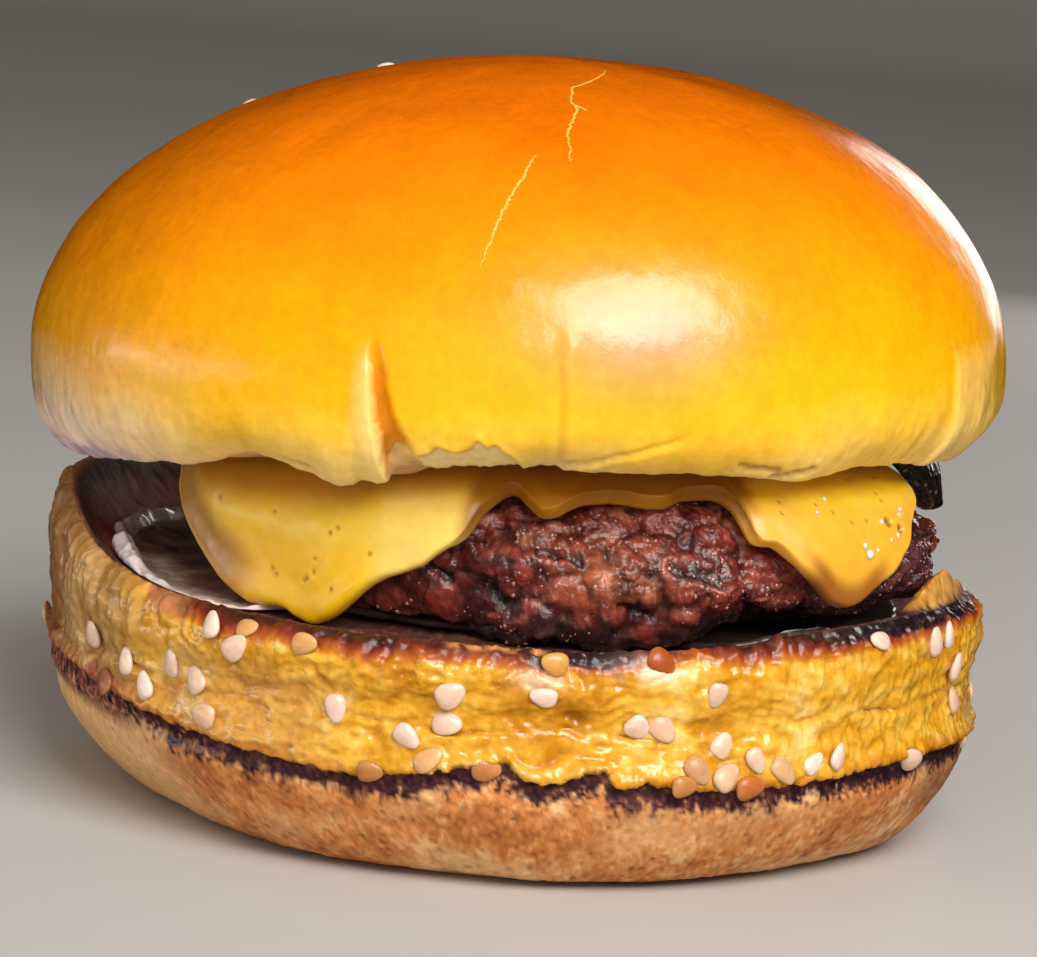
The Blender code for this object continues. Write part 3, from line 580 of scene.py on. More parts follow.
    # Painted shade: dark brown down in the slits.
    colour = mix(colour, rgb(150, 84, 24), np.clip(slit, 0, 1) * 0.7)
    colour = mix(colour, rgb(244, 212, 140), 0.35 * strip * band(h, -9.0, 1.5, 3.0))
    bread = ramp([(0.0, (236, 204, 150)), (1.0, (196, 140, 78))], np.clip(0.5 + fine, 0, 1))
    colour = mix(bread, colour, skin)
    rough = 0.30 + 0.06 * fine + 0.12 * smooth((-4.0 - h) / 4.0) + 0.35 * (1 - skin) + 0.2 * flake
    west = signed(full_az)
    # The glaze is glossiest at the key glint and on the flanks, and fades towards the back.
    glaze = np.exp(-(((west - 14.0) / 16.0) ** 2 + ((h - 7.0) / 9.0) ** 2))
    glaze += smooth((west - 48.0) / 12.0) * smooth((150.0 - west) / 40.0)
    glaze += smooth((-52.0 - west) / 12.0) * smooth((west + 150.0) / 40.0) * smooth((2.5 - h) / 5.0)
    # Painted highlight: a pinkish pale patch where the key lamp's glint falls.
    key = np.exp(-(((west - 14.0) / 9.0) ** 2 + ((h - 7.0) / 5.0) ** 2))
    colour = mix(colour, rgb(222, 156, 132), 0.65 * key)
    coat = np.clip((0.45 + 0.5 * glaze) * smooth((h + 8.0) / 6.0) * skin, 0, 1)
    paint(crown, paint=pack(np.clip(colour, 0, 1)), rough=pack(np.clip(rough, 0.1, 0.9)),
          coat=pack(coat))
    return crown


# Heel.

# Height of the burnt line's upper edge, by azimuth.
SEAM_TOP = [(-90, 16.0), (-72, 15.6), (-64, 15.2), (-56, 14.6), (-47, 13.6), (-38, 12.9), (-30, 12.3),
            (-23, 11.9), (-17, 11.6), (-10, 12.4), (-6.3, 13.1), (0.5, 14.3), (2.2, 13.3), (5, 12.5),
            (6.3, 12.6), (9.3, 13.6), (11.4, 14.2), (12.8, 12.5), (16.7, 12.9), (23, 12.2),
            (30, 12.3), (40, 12.7), (52, 13.4), (66, 13.5), (90, 13.0), (120, 12.4), (150, 13.0),
            (180, 12.5), (210, 13.2), (240, 14.6)]
# Height of the torn crumb that stands behind the blackened rim, by azimuth.
CRUMB_FLAP = [(55.5, 0.0), (57.5, 0.8), (61.5, 2.4), (65.5, 3.6), (69.5, 3.9), (72.5, 3.3), (75.5, 2.1),
              (81.0, 1.9), (84.5, 1.4), (88.0, 0.0)]


def heel_rows():
    """Smooth dense profile of the heel: radius, height and share of the crest's rise."""
    pts = np.array(HEEL_PROFILE)
    share = np.array([lookup(CREST_INNER, r) if i <= 6 else lookup(CREST_OUTER, z)
                      for i, (r, z) in enumerate(HEEL_PROFILE)])
    data = np.column_stack([pts, share])
    counts = [3, 4, 6, 8, 8, 7, 6, 8, 9, 10, 10, 8, 7, 7, 7, 7, 7, 5, 3, 2]
    rows = []
    for i in range(len(data) - 1):
        p0, p1, p2 = data[max(i - 1, 0)], data[i], data[i + 1]
        p3 = data[min(i + 2, len(data) - 1)]
        flat = i < 2 or i > 16
        for t in np.arange(counts[i]) / counts[i]:
            if flat:
                rows.append(p1 + (p2 - p1) * t)
                continue
            l0 = np.hypot(*(p1 - p0)[:2])
            l1 = np.hypot(*(p2 - p1)[:2])
            l2 = np.hypot(*(p3 - p2)[:2])
            m1 = (p2 - p0) / (l0 + l1) * l1
            m2 = (p3 - p1) / (l1 + l2) * l1
            if l0 > 3 * l1:
                m1 = p2 - p1
            if l2 > 3 * l1:
                m2 = p2 - p1
            t2, t3 = t * t, t ** 3
            rows.append((2 * t3 - 3 * t2 + 1) * p1 + (t3 - 2 * t2 + t) * m1
                        + (3 * t2 - 2 * t3) * p2 + (t3 - t2) * m2)
    rows.append(data[-1])
    return np.array(rows)


HEEL_COLUMNS, HEEL_CREST_RADIUS = 860, 50.2
# Upright grooves in the crust as azimuth, half width, depth, lowest and highest point.
GROOVES = [(6.8, 1.5, 0.6, 13.0, 19.0), (-43.0, 0.8, 0.3, 15.0, 24.0), (-57.5, 0.9, 0.45, 14.0, 26.0),
           (-62.5, 0.7, 0.3, 15.0, 26.0), (-71.0, 1.0, 0.4, 12.0, 27.0), (31.0, 0.6, 0.25, 18.0, 26.0),
           (51.0, 0.6, 0.3, 15.0, 22.0)]


def make_heel():
    az = columns(HEEL_COLUMNS)
    rows = heel_rows()
    rise = round_curve(HEEL_RIM, az) - HEEL_CREST
    crest = rise + HEEL_CREST
    tuck = round_curve(HEEL_TUCK, az)[None, :] * lookup(TUCK_SHARE, rows[:, 1:2])
    r = rows[:, :1] - tuck * smooth((rows[:, :1] - 30.0) / 8.0)
    z = rows[:, 1:2] + rows[:, 2:3] * rise[None, :]
    world = polar(HEEL_X, r, az[None, :], z)
    a = np.broadcast_to(az, z.shape)
    west = signed(a)
    split = int(np.argmax(rows[:, 0] >= HEEL_CREST_RADIUS))
    order = np.arange(len(rows))[:, None]
    outside = np.broadcast_to((order > split) & (rows[:, 1:2] > 0.02), z.shape)
    inside = np.broadcast_to(order <= split, z.shape)
    along = at(a / 1.1, 0.0, 0.0)
    # A torn crumb flap stands behind the blackened rim at the right.
    flap = lookup(CRUMB_FLAP, west)
    flap = np.maximum(flap + 0.3 * fbm(along / 2.2, 3, 50) * (flap > 0.3), 0.0)
    ridge = smooth(1.35 - np.abs(rows[:, :1] - 48.9) / 1.15) * inside
    world[..., 2] += flap * ridge
    shelf = np.exp(-((rows[:, :1] - 50.9) / 0.6) ** 2) * band(west, 40.0, 76.0, 8.0) * outside
    world[..., 2] -= 0.5 * shelf * (rows[:, 1:2] > 25.0)
    normal = grid_normals(world)
    below = crest[None, :] - z
    seam = round_curve(SEAM_TOP, az)[None, :] + 0.5 * fbm(along / 1.55, 4, 51)
    above = z - seam
    arc = a * 0.9

    # Wrinkles of the shrunken crust, mostly level, with upright ones under the rim.
    crust = outside * smooth((above + 0.1) / 0.5)
    warp = 1.6 * fbm(world / 7.0, 2, 52)
    level = fbm(at(arc / 5.0, (z + warp) / 1.6, 0.0), 4, 53)
    crisp = 1.0 - 2.2 * np.abs(fbm(at(arc / 3.4, (z + warp) / 1.3, 9.0), 3, 46))
    upright = fbm(at((arc + warp) / 1.15, z / 5.0, 0.0), 4, 54)
    furrow = 1.0 - 2.4 * np.abs(fbm(at((arc + warp) / 1.5, z / 3.2, 0.0), 3, 47))
    right = smooth((west - 24.0) / 18.0) * smooth((100.0 - west) / 20.0)
    front = band(west, -34.0, 26.0, 14.0)
    d = crust * (0.30 * level - 0.12 * np.abs(level))
    d += crust * (0.10 + 0.22 * smooth((6.0 - below) / 4.0) + 0.10 * right) * upright
    d += crust * (0.08 + 0.12 * front) * np.clip(crisp, -0.6, 1.0)
    d += crust * 0.22 * right * np.clip(furrow, -0.5, 1.0)
    d += crust * 0.07 * fbm(world / 0.8, 3, 55)
    d += crust * 0.4 * fbm(world / 9.0, 2, 56)
    # The crease at the waist and a few short folds.
    waist = 17.4 + 1.3 * perlin(at(a / 15.0, 0.0, 0.0), 57) + 0.35 * fbm(at(a / 2.6, 0.0, 0.0), 3, 58)
    waist += 2.0 * smooth((west - 24.0) / 22.0) * smooth((175.0 - west) / 60.0)
    cut = smooth(0.45 + 1.6 * perlin(at(a / 9.0, 0 * z + 5.0, 0.0), 59))
    crease = np.exp(-((z - waist) / 0.28) ** 2) * cut
    d -= crust * 0.55 * crease
    d += crust * 0.35 * smooth((waist - z) / 0.5) * smooth((z - waist + 2.6) / 2.2) * cut
    for place, wide, deep, low, high in GROOVES:
        groove = np.exp(-((west - place - 0.5 * np.sin(z * 0.7 + place)) / wide) ** 2)
        d -= crust * deep * groove * band(z, low, high, 2.0)
    # The crust's lower lip overhangs the burnt line, which is sunk and crusty.
    lip = outside * smooth((above + 0.15) / 0.3) * smooth((1.6 - above) / 1.4)
    torn = band(west, -6.0, 12.0, 4.0)
    d += (0.3 + 0.25 * torn) * lip + (0.12 + 0.2 * torn) * lip * fbm(world / 0.8, 3, 60)
    char = outside * smooth((0.1 - above) / 0.4) * smooth((above + 3.2) / 2.0)
    d -= char * (0.36 + 0.24 * np.abs(fbm(world / 0.7, 3, 61)))
    under = outside * smooth((-1.6 - above) / 1.2)
    d += under * (0.09 * fbm(world / 1.1, 4, 62) + 0.35 * fbm(world / 10.0, 2, 63))
    pore1, _, pick = cells(world / 1.3, 64)
    pores = smooth((0.36 - pore1) / 0.2) * (pick > 0.4)
    d -= under * 0.2 * pores
    # Cut face: toasted crumb, only ever sunk under the sauce; the rim is lumpy.
    rim = smooth((rows[:, :1] - 46.5) / 2.5) * smooth((3.5 - below) / 2.0)
    lumps = 0.22 * fbm(world / 2.4, 3, 65) + 0.06 * fbm(world / 0.7, 3, 66)
    d += rim * lumps * (1 - 0.5 * inside)
    d -= inside * (1 - rim) * 0.3 * np.abs(fbm(world / 2.0, 3, 67))
    side = smooth((rows[:, 0] - 12.0) / 4.0)[:, None]
    d *= side * np.where(order >= len(rows) - 6, 0.0, 1.0)
    world = world + normal * d[..., None]
    world[..., 2] = np.maximum(world[..., 2], 0.0)

    heel = grid_mesh("heel_crust", world)
    mottle = fbm(world / 9.0, 4, 71)
    fine = fbm(world / 1.8, 4, 72)
    grain = fbm(world / 0.6, 3, 73)
    tone = 0.7 * mottle + 0.5 * fine + 0.4 * level + 0.25 * np.clip(crisp, -1, 1)
    gold = ramp([(-1.0, (178, 110, 12)), (-0.4, (206, 138, 18)), (0.1, (228, 166, 38)),
                 (0.5, (242, 188, 72)), (1.0, (250, 212, 126))], tone)
    # Paler, browner crust at the far left, in a strip at the right and, fainter, behind.
    left = smooth((-44.0 - west) / 10.0) * smooth((west + 165.0) / 50.0)
    left += 0.8 * smooth((west - 72.0) / 6.0) * smooth((84.0 - west) / 6.0)
    left = np.clip(left + 0.3 * smooth((west - 96.0) / 20.0) + 0.3 * smooth((-125.0 - west) / 40.0), 0, 1)
    khaki = ramp([(-0.6, (166, 122, 66)), (0.2, (200, 158, 100)), (0.8, (222, 188, 146))],
                 0.6 * mottle + 0.8 * upright)
    far = smooth((-62.0 - west) / 10.0) * smooth((west + 130.0) / 30.0)
    khaki = mix(khaki, rgb(134, 84, 62), 0.75 * far)
    colour = mix(gold, khaki, 0.85 * left)
    # Painted shade: darker brown along the waist crease.
    colour = mix(colour, rgb(166, 84, 18), 0.6 * smooth(crease * cut) * crust)
    dull = band(west, -42.0, -24.0, 8.0) * smooth((11.0 - above) / 4.0)
    colour = mix(colour, rgb(196, 142, 80), 0.5 * dull)
    glow = smooth((1.5 - above + 0.9 * fine) / 1.6) * (1.0 - 0.6 * torn)
    colour = mix(colour, rgb(188, 98, 12), 0.75 * glow * crust)
    # Toast at the rim: black-brown edge, dark red, amber, with upright streaks.
    shift = 0.8 * band(west, 18.0, 32.0, 6.0) + 3.0 * smooth((west - 84.0) / 10.0)
    shift += (3.4 - 0.4 * smooth((-125.0 - west) / 40.0)) * smooth((-44.0 - west) / 6.0)
    shift -= 0.9 * band(west, 30.0, 74.0, 8.0) + 0.6 * band(west, -34.0, -16.0, 5.0)
    shift += perlin(at(a / 6.0, 0.0, 0.0), 75)
    streak = 1.45 * below + 0.5 * upright + 0.4 * fine + 0.2 * mottle + shift
    toast = ramp([(-0.6, (54, 24, 20)), (0.2, (78, 26, 22)), (1.0, (124, 44, 22)), (1.8, (170, 82, 24)),
                  (2.6, (204, 122, 26)), (3.3, (226, 156, 38))], streak)
    toast = mix(toast, rgb(206, 140, 88), 0.6 * smooth((-39.0 - west) / 4.0) * smooth((west + 62.0) / 6.0))
    toast = mix(toast, rgb(26, 18, 26), 0.92 * band(west, 44.0, 70.0, 5.0) * smooth((1.3 - streak) / 0.6))
    toast = mix(toast, rgb(24, 16, 22), 0.85 * band(west, 3.5, 13.0, 3.0) * smooth((2.2 - streak) / 0.8))
    # Painted highlights: pale pink specks on the toasted rim stand in for glints.
    dots, _, drawn = cells(world / 0.55, 76)
    dots = smooth((0.4 - dots) / 0.2) * (drawn > 0.84)
    dots *= band(west, 3.5, 14.0, 4.0) + 0.25 * band(west, 3.5, 70.0, 5.0)
    toast = mix(toast, rgb(214, 168, 160), np.clip(0.6 * dots, 0, 1))
    colour = mix(colour, toast, smooth((3.3 - streak) / 0.8) * outside)
    crisp_edge = np.exp(-((below - 0.1) / 0.24) ** 2) * band(west, -6.0, 3.0, 2.0) * smooth(0.7 + 1.4 * fine)
    milk = np.exp(-(((west - 3.5) / 2.6) ** 2 + ((z - 23.0) / 0.9) ** 2))
    milk = milk + np.exp(-(((west - 16.0) / 3.4) ** 2 + ((z - 24.2) / 1.1) ** 2))
    colour = mix(colour, rgb(250, 222, 206), np.clip(0.6 * milk * smooth(0.8 + fine), 0, 1) * outside)
    colour = mix(colour, rgb(240, 168, 92), 0.8 * crisp_edge * outside)
    # Burnt line and the pale baked underside.
    burnt = ramp([(0.0, (44, 24, 34)), (0.4, (78, 42, 46)), (0.75, (118, 68, 58)), (1.0, (176, 116, 92))],
                 np.clip(0.38 + 0.55 * grain + 0.35 * fine, 0, 1))
    burnt = mix(burnt, rgb(36, 26, 34), 0.5 * smooth((west - 30.0) / 20.0) * smooth((110.0 - west) / 20.0))
    colour = mix(colour, burnt, smooth((0.15 - above) / 0.35) * outside)
    tan = ramp([(0.0, (168, 92, 42)), (0.35, (204, 124, 56)), (0.6, (220, 150, 84)), (1.0, (240, 196, 142))],
               np.clip(0.45 + 0.35 * mottle + 0.3 * fine + 0.4 * grain, 0, 1))
    pale = smooth((-36.0 - west) / 16.0) * smooth((west + 170.0) / 60.0)
    pale += smooth(2.2 * perlin(world / 13.0, 74) - 0.5) * 0.8
    pale += 0.9 * smooth((4.8 - z + 2.0 * fine) / 2.2) * band(west, -8.0, 4.0, 5.0)
    pale += 0.9 * smooth((3.4 - z + fine) / 1.6) * band(west, 40.0, 60.0, 8.0)
    tan = mix(tan, rgb(238, 190, 130), np.clip(0.8 * pale, 0, 1))
    tan = mix(tan, rgb(124, 70, 50), 0.65 * smooth((west - 54.0) / 12.0) * smooth((108.0 - west) / 12.0)
              * smooth((above + 8.5 + mottle) / 3.5))
    fade = smooth((-1.7 - above + 0.9 * grain + 0.9 * fine + 0.5 * mottle) / 1.3)
    wide_char = smooth((-44.0 - west) / 12.0) * smooth((west + 100.0) / 14.0)
    fade = fade * (1.0 - 0.7 * wide_char * smooth((above + 4.6) / 2.0))
    colour = mix(colour, tan, fade * (outside | (order > len(rows) - 12)))
    blot = wide_char * smooth((1.8 - above + 2.4 * fine) / 1.2) * smooth((above + 4.8) / 2.0)
    speck = smooth(0.5 + 1.6 * grain + 0.8 * fine)
    mauve = mix(rgb(150, 62, 46) + 0 * colour, rgb(214, 146, 118), 0.85 * smooth(1.8 * grain - 0.1))
    colour = mix(colour, mauve, 0.85 * blot * speck * outside)
    # Painted shade: the pores underneath are darkened.
    colour = mix(colour, colour * 0.45, under * pores * 0.6)
    # Cut face: brown toast, near-black at the right rim, partly char and partly painted shade in the gap
    # under the patty and cheese.
    face = ramp([(0.0, (132, 58, 44)), (0.5, (166, 80, 60)), (1.0, (190, 106, 78))],
                np.clip(0.45 + 0.4 * mottle + 0.2 * fine, 0, 1))
    # Near-black: partly char, partly painted shade in the gap under the patty and cheese.
    black = smooth((gap_deg(a, 58.0) - 34.0) / -14.0)
    face = mix(face, rgb(18, 13, 18), 0.92 * black)
    edge = smooth((3.4 - below + 1.2 * fine + 0.8 * grain) / 1.6)
    scorched = ramp([(0.0, (58, 30, 28)), (0.6, (100, 54, 42)), (1.0, (146, 82, 56))],
                    np.clip(0.4 + 0.7 * grain + 0.5 * fine, 0, 1))
    face = mix(face, scorched, edge)
    deep = smooth((46.2 - rows[:, :1]) / 1.6) * smooth((gap_deg(a, -54.0) - 22.0) / -10.0)
    face = mix(face, rgb(132, 90, 88), 0.85 * deep)
    face = mix(face, rgb(206, 148, 96), 0.75 * np.exp(-((below - 0.1) / 0.3) ** 2) * far)
    crumb = smooth(flap / 0.7) * smooth((world[..., 2] - 28.7 + 0.4 * fine) / 0.5)
    bread = ramp([(0.0, (148, 88, 26)), (0.5, (198, 136, 44)), (1.0, (224, 168, 84))],
                 np.clip(0.5 + 0.8 * fine + 0.5 * grain, 0, 1))
    face = mix(face, bread, crumb)
    colour = mix(colour, face, inside)
    rough = 0.3 + 0.1 * fine + 0.4 * fade + 0.2 * blot
    rough = np.where(inside, 0.7, rough + 0.1 * smooth((2.8 - streak) / 1.0) * outside)
    coat = crust * (0.62 + 0.4 * level) * (1 - 0.75 * left)
    wet_rim = 0.1 + 0.12 * band(west, 2.0, 40.0, 6.0) + 0.4 * band(west, 44.0, 70.0, 6.0)
    coat = np.maximum(coat * smooth((streak - 1.5) / 1.5), wet_rim * smooth((2.9 - streak) / 0.8) * outside)
    coat *= 1.0 - fade
    paint(heel, paint=pack(np.clip(colour, 0, 1)), rough=pack(np.clip(rough, 0.12, 0.9)),
          coat=pack(np.clip(coat, 0, 1)))
    return heel


# Patty.

# Dark clefts in the meat: azimuth and height of both ends, and half width.
PATTY_SPLITS = [(15.0, 33.6, 22.0, 32.6, 0.8), (-10.5, 30.4, -6.7, 28.4, 1.0),
                (-22.0, 33.0, -16.0, 30.5, 0.6), (-3.5, 34.6, 2.0, 34.0, 0.4),
                (8.0, 29.6, 12.5, 28.6, 0.5), (27.0, 30.0, 31.0, 27.5, 0.8),
                (54.0, 35.5, 60.0, 33.0, 0.6)]
PATTY_COLUMNS, PATTY_UNDER_ROUND = 900, 1.3


def make_patty():
    az = columns(PATTY_COLUMNS, *FRONT_SHARE)
    waist = PATTY_TOP - PATTY_SHOULDER
    rows = [(0.0, PATTY_TOP), (18.0, PATTY_TOP), (27.0, PATTY_TOP), (32.0, PATTY_TOP)]
    for s in np.linspace(0.0, 1.0, 46):
        t = s * math.pi / 2.0
        rows.append((PATTY_FLAT + PATTY_ROUND * math.sin(t), waist + PATTY_SHOULDER * math.cos(t)))
    for z in np.linspace(waist, PATTY_WAIST_Z, 8)[1:]:
        rows.append((PATTY_FLAT + PATTY_ROUND, z))
    for s in np.linspace(0.0, 1.0, 36)[1:]:
        t = s * math.pi / 2.0
        rows.append((PATTY_FLAT + PATTY_UNDER_ROUND + (PATTY_ROUND - PATTY_UNDER_ROUND) * math.cos(t),
                     PATTY_WAIST_Z - (PATTY_WAIST_Z - PATTY_BOTTOM) * math.sin(t)))
    rows += [(32.0, PATTY_BOTTOM), (22.0, PATTY_BOTTOM), (0.0, PATTY_BOTTOM)]
    rows = np.array(rows)
    r = np.broadcast_to(rows[:, :1], (len(rows), len(az))).copy()
    z = np.broadcast_to(rows[:, 1:], r.shape).copy()
    a = np.broadcast_to(az, r.shape)
    west = signed(a)
    start = polar(PATTY_X, r, a, z)
    side = smooth((r - 30.0) / 10.0)
    flat = (start / PATTY_LUMP_SIZE).reshape(-1, 3)
    coarse = np.array([noise.noise(p) for p in flat.tolist()]).reshape(r.shape)
    fine = np.array([noise.noise((x * 2.1 + 7.0, y * 2.1 + 3.0, w * 2.1 + 1.0))
                     for x, y, w in flat.tolist()]).reshape(r.shape)
    sink = np.clip(0.42 + 0.75 * coarse + 0.4 * fine, 0.0, 1.0)
    bulge = band(west, *PATTY_BULGE_SPAN) * band(z, *PATTY_BULGE_LEVELS)
    droop = PATTY_DROOP * band(west, *PATTY_DROOP_SPAN)
    r = r + PATTY_BULGE * bulge * smooth((r - 36.0) / 3.0)
    droop = droop * smooth((r - PATTY_DROOP_START) / 4.5) * smooth((PATTY_WAIST_Z - z) / 3.0)
    near = 1.0 - gap_deg(a, PATTY_SAG_AZIMUTH) / PATTY_SAG_WIDTH
    sag = PATTY_SAG * smooth(near) * smooth((r - 28.0) / 8.0) * smooth((z - 34.0) / 5.0)
    r = r - PATTY_LUMP * sink * side
    z = z - droop - sag + (0.4 - 0.9 * smooth((z - 30.0) / 3.0)) * sink * side
    world = polar(PATTY_X, r, a, z)
    normal = grid_normals(world)
    # Ground meat: lumps, short strands and grains, round on top with cracks between.
    wob = world + 0.8 * at(*[perlin(world / 2.6, seed) for seed in (81, 82, 83)])
    f1, f2, pick = cells(wob / np.array([4.6, 4.6, 3.6]), 84)
    lump = smooth((f2 - f1) / 0.5)
    dome = np.sqrt(np.clip(1.0 - f1 * f1, 0.0, 1.0))
    g1, _, gpick = cells((wob + 3.0) / np.array([1.7, 1.7, 1.35]), 85)
    grain = np.sqrt(np.clip(1.0 - 1.2 * g1 * g1, 0.0, 1.0))
    h1, _, hpick = cells((world + 5.0) / 0.85, 80)
    bead = np.sqrt(np.clip(1.0 - 1.3 * h1 * h1, 0.0, 1.0))
    strand = fbm(wob / np.array([3.0, 3.0, 1.1]), 4, 86)
    tiny = fbm(world / 0.6, 3, 87)
    height = 0.7 * (dome - 0.75) * (0.4 + 0.9 * pick) - 0.7 * (1 - lump) * pick
    height = height + 0.42 * (grain - 0.75) * (0.5 + 0.8 * gpick) + 0.22 * (bead - 0.7)
    height = height - 0.3 * np.abs(strand) + 0.1 * tiny
    split = np.zeros_like(height)
    for a0, z0, a1, z1, wide in PATTY_SPLITS:
        t = np.clip((west - a0) / (a1 - a0), 0.0, 1.0)
        gap = np.hypot((west - a0 - t * (a1 - a0)) * 0.75, z - z0 - t * (z1 - z0) - 0.5 * strand)
        split = np.maximum(split, smooth(1.5 - gap / wide))
    height = height - 0.9 * split
    shown = band(west, -20.0, 24.0, 8.0) * smooth((37.5 - z) / 2.0)
    height = np.minimum(height + 0.35 * shown, 0.1 + 0.8 * shown)
    world = world + normal * (height * side)[..., None]

    patty = grid_mesh("patty_meat", world)
    hollow = np.clip(0.32 * sink + 0.5 * (1 - lump) + 0.7 * (0.8 - grain), 0, 1)
    tone = 0.5 + 0.3 * fbm(world / 6.0, 3, 88)
    tone += 0.35 * (gpick - 0.5) + 0.25 * (pick - 0.5) + 0.2 * (hpick - 0.5)
    colour = ramp([(0.0, (84, 24, 22)), (0.3, (118, 40, 34)), (0.55, (144, 62, 48)), (0.75, (170, 92, 68)),
                   (1.0, (208, 144, 112))], np.clip(tone + 0.15 * strand + 0.1 * tiny, 0, 1))
    leftish = smooth((-8.0 - west) / 14.0) * smooth((west + 170.0) / 60.0)
    colour = mix(colour, rgb(128, 52, 42), 0.5 * leftish)
    tan = np.exp(-(((west - 5.0) / 7.0) ** 2 + ((z - 32.6) / 3.0) ** 2))
    colour = mix(colour, rgb(190, 112, 66), 0.5 * tan)
    red = smooth(2.4 * fbm(world / 5.0, 2, 92) - 0.3)
    colour = mix(colour, rgb(124, 32, 26), 0.4 * red)
    # Painted highlights: pale pink flecks stand in for the wet glints on the meat.
    flecks, _, draws = cells(world / 0.5, 93)
    flecks = smooth((0.42 - flecks) / 0.2) * (draws > 0.8) * smooth(0.5 + 2.4 * fbm(world / 4.0, 3, 91))
    colour = mix(colour, rgb(222, 176, 164), 0.5 * flecks)
    # Painted shade: dark brown in the hollows between the lumps.
    colour = mix(colour, rgb(34, 16, 18), smooth((hollow - 0.3) / 0.5) * 0.8)
    # Painted shade: near-black down in the clefts.
    colour = mix(colour, rgb(26, 14, 16), 0.9 * split)
    low = PATTY_BOTTOM + 0.7 + 1.4 * fbm(at(a / 9.0, 0.0, 0.0), 3, 89)
    low += 2.4 * band(west, 22.0, 40.0, 8.0) + 1.6 * band(west, -3.0, 6.0, 4.0)
    low -= 1.2 * band(west, -40.0, -14.0, 8.0)
    char = smooth((low - z + 0.8 * fbm(world / 2.0, 3, 90)) / 1.5)
    colour = mix(colour, rgb(26, 20, 25), 0.88 * char)
    far = smooth((gap_deg(a, 66.0) - 26.0) / -12.0)
    colour = mix(colour, rgb(64, 42, 48), 0.72 * far)
    rough = 0.26 + 0.12 * tiny + 0.2 * (1 - grain)
    paint(patty, paint=pack(np.clip(colour, 0, 1)), rough=pack(np.clip(rough, 0.08, 0.8)),
          coat=pack(np.clip(0.58 + 0.45 * strand, 0, 1)))
    return patty, world, normal


# Cheese.

def cheese_face(reach):
    quarter = math.pi / 4.0 * (CHEESE_ROUND + CHEESE_SHOULDER)
    turn = np.clip((reach - CHEESE_FLAT) / quarter, 0.0, 1.0) * math.pi / 2.0
    radius = np.where(reach <= CHEESE_FLAT, reach, CHEESE_FLAT + CHEESE_ROUND * np.sin(turn))
    height = CHEESE_TOP - CHEESE_SHOULDER * (1.0 - np.cos(turn))
    return radius, height - np.maximum(0.0, reach - CHEESE_FLAT - quarter), turn


# Dark specks on the cheese as (azimuth, reach), and white beads on it with their size too, painted white as
# highlights where the wet glints fall.
CHEESE_SPECKS = [(-52.2, 49.4), (-41.2, 49.5), (-31.5, 50.7), (-30.5, 50.0), (-33.5, 53.7), (-40.5, 55.6),
                 (-39.8, 56.1), (-35.0, 56.1), (-34.6, 55.8), (-33.5, 55.1), (-30.5, 56.5), (-25.5, 52.3),
                 (30.5, 42.9), (30.2, 44.4), (36.5, 43.4), (39.0, 44.4), (47.0, 39.8), (53.5, 40.0),
                 (50.2, 42.3), (50.2, 43.3), (41.8, 45.7), (44.8, 45.6), (140.0, 50.0), (134.0, 46.5),
                 (222.0, 49.0), (229.0, 51.5), (236.0, 46.0)]
CHEESE_DROPS = [(38.5, 42.7, 0.36), (36.0, 44.4, 0.26), (53.0, 44.7, 0.3), (52.2, 45.3, 0.28),
                (47.5, 45.9, 0.34), (48.5, 48.0, 0.3), (50.2, 47.6, 0.32), (43.8, 49.4, 0.55),
                (43.0, 48.4, 0.38), (45.4, 49.0, 0.24), (-64.0, 46.0, 0.3), (150.0, 44.0, 0.4),
                (146.0, 46.0, 0.3), (226.0, 53.0, 0.4), (230.0, 54.2, 0.5)]
# Reach down to which the crown's shade and the fat's brown tinge go, by azimuth.
CHEESE_SHADE = [(-60, 49.0), (-47, 49.2), (-38, 48.6), (-30, 47.4), (-24, 45.6), (-19, 44.6), (-14, 43.6),
                (-10, 42.6), (22, 42.0), (27, 40.0), (31, 38.0), (42, 37.6), (59, 37.0), (70, 36.0),
                (120, 40.0), (140, 42.0), (200, 42.0), (230, 44.0), (270, 42.0)]


CHEESE_COLUMNS, CHEESE_ROWS, CHEESE_LIP_ROWS, CHEESE_LIP = 760, 84, 9, 0.55


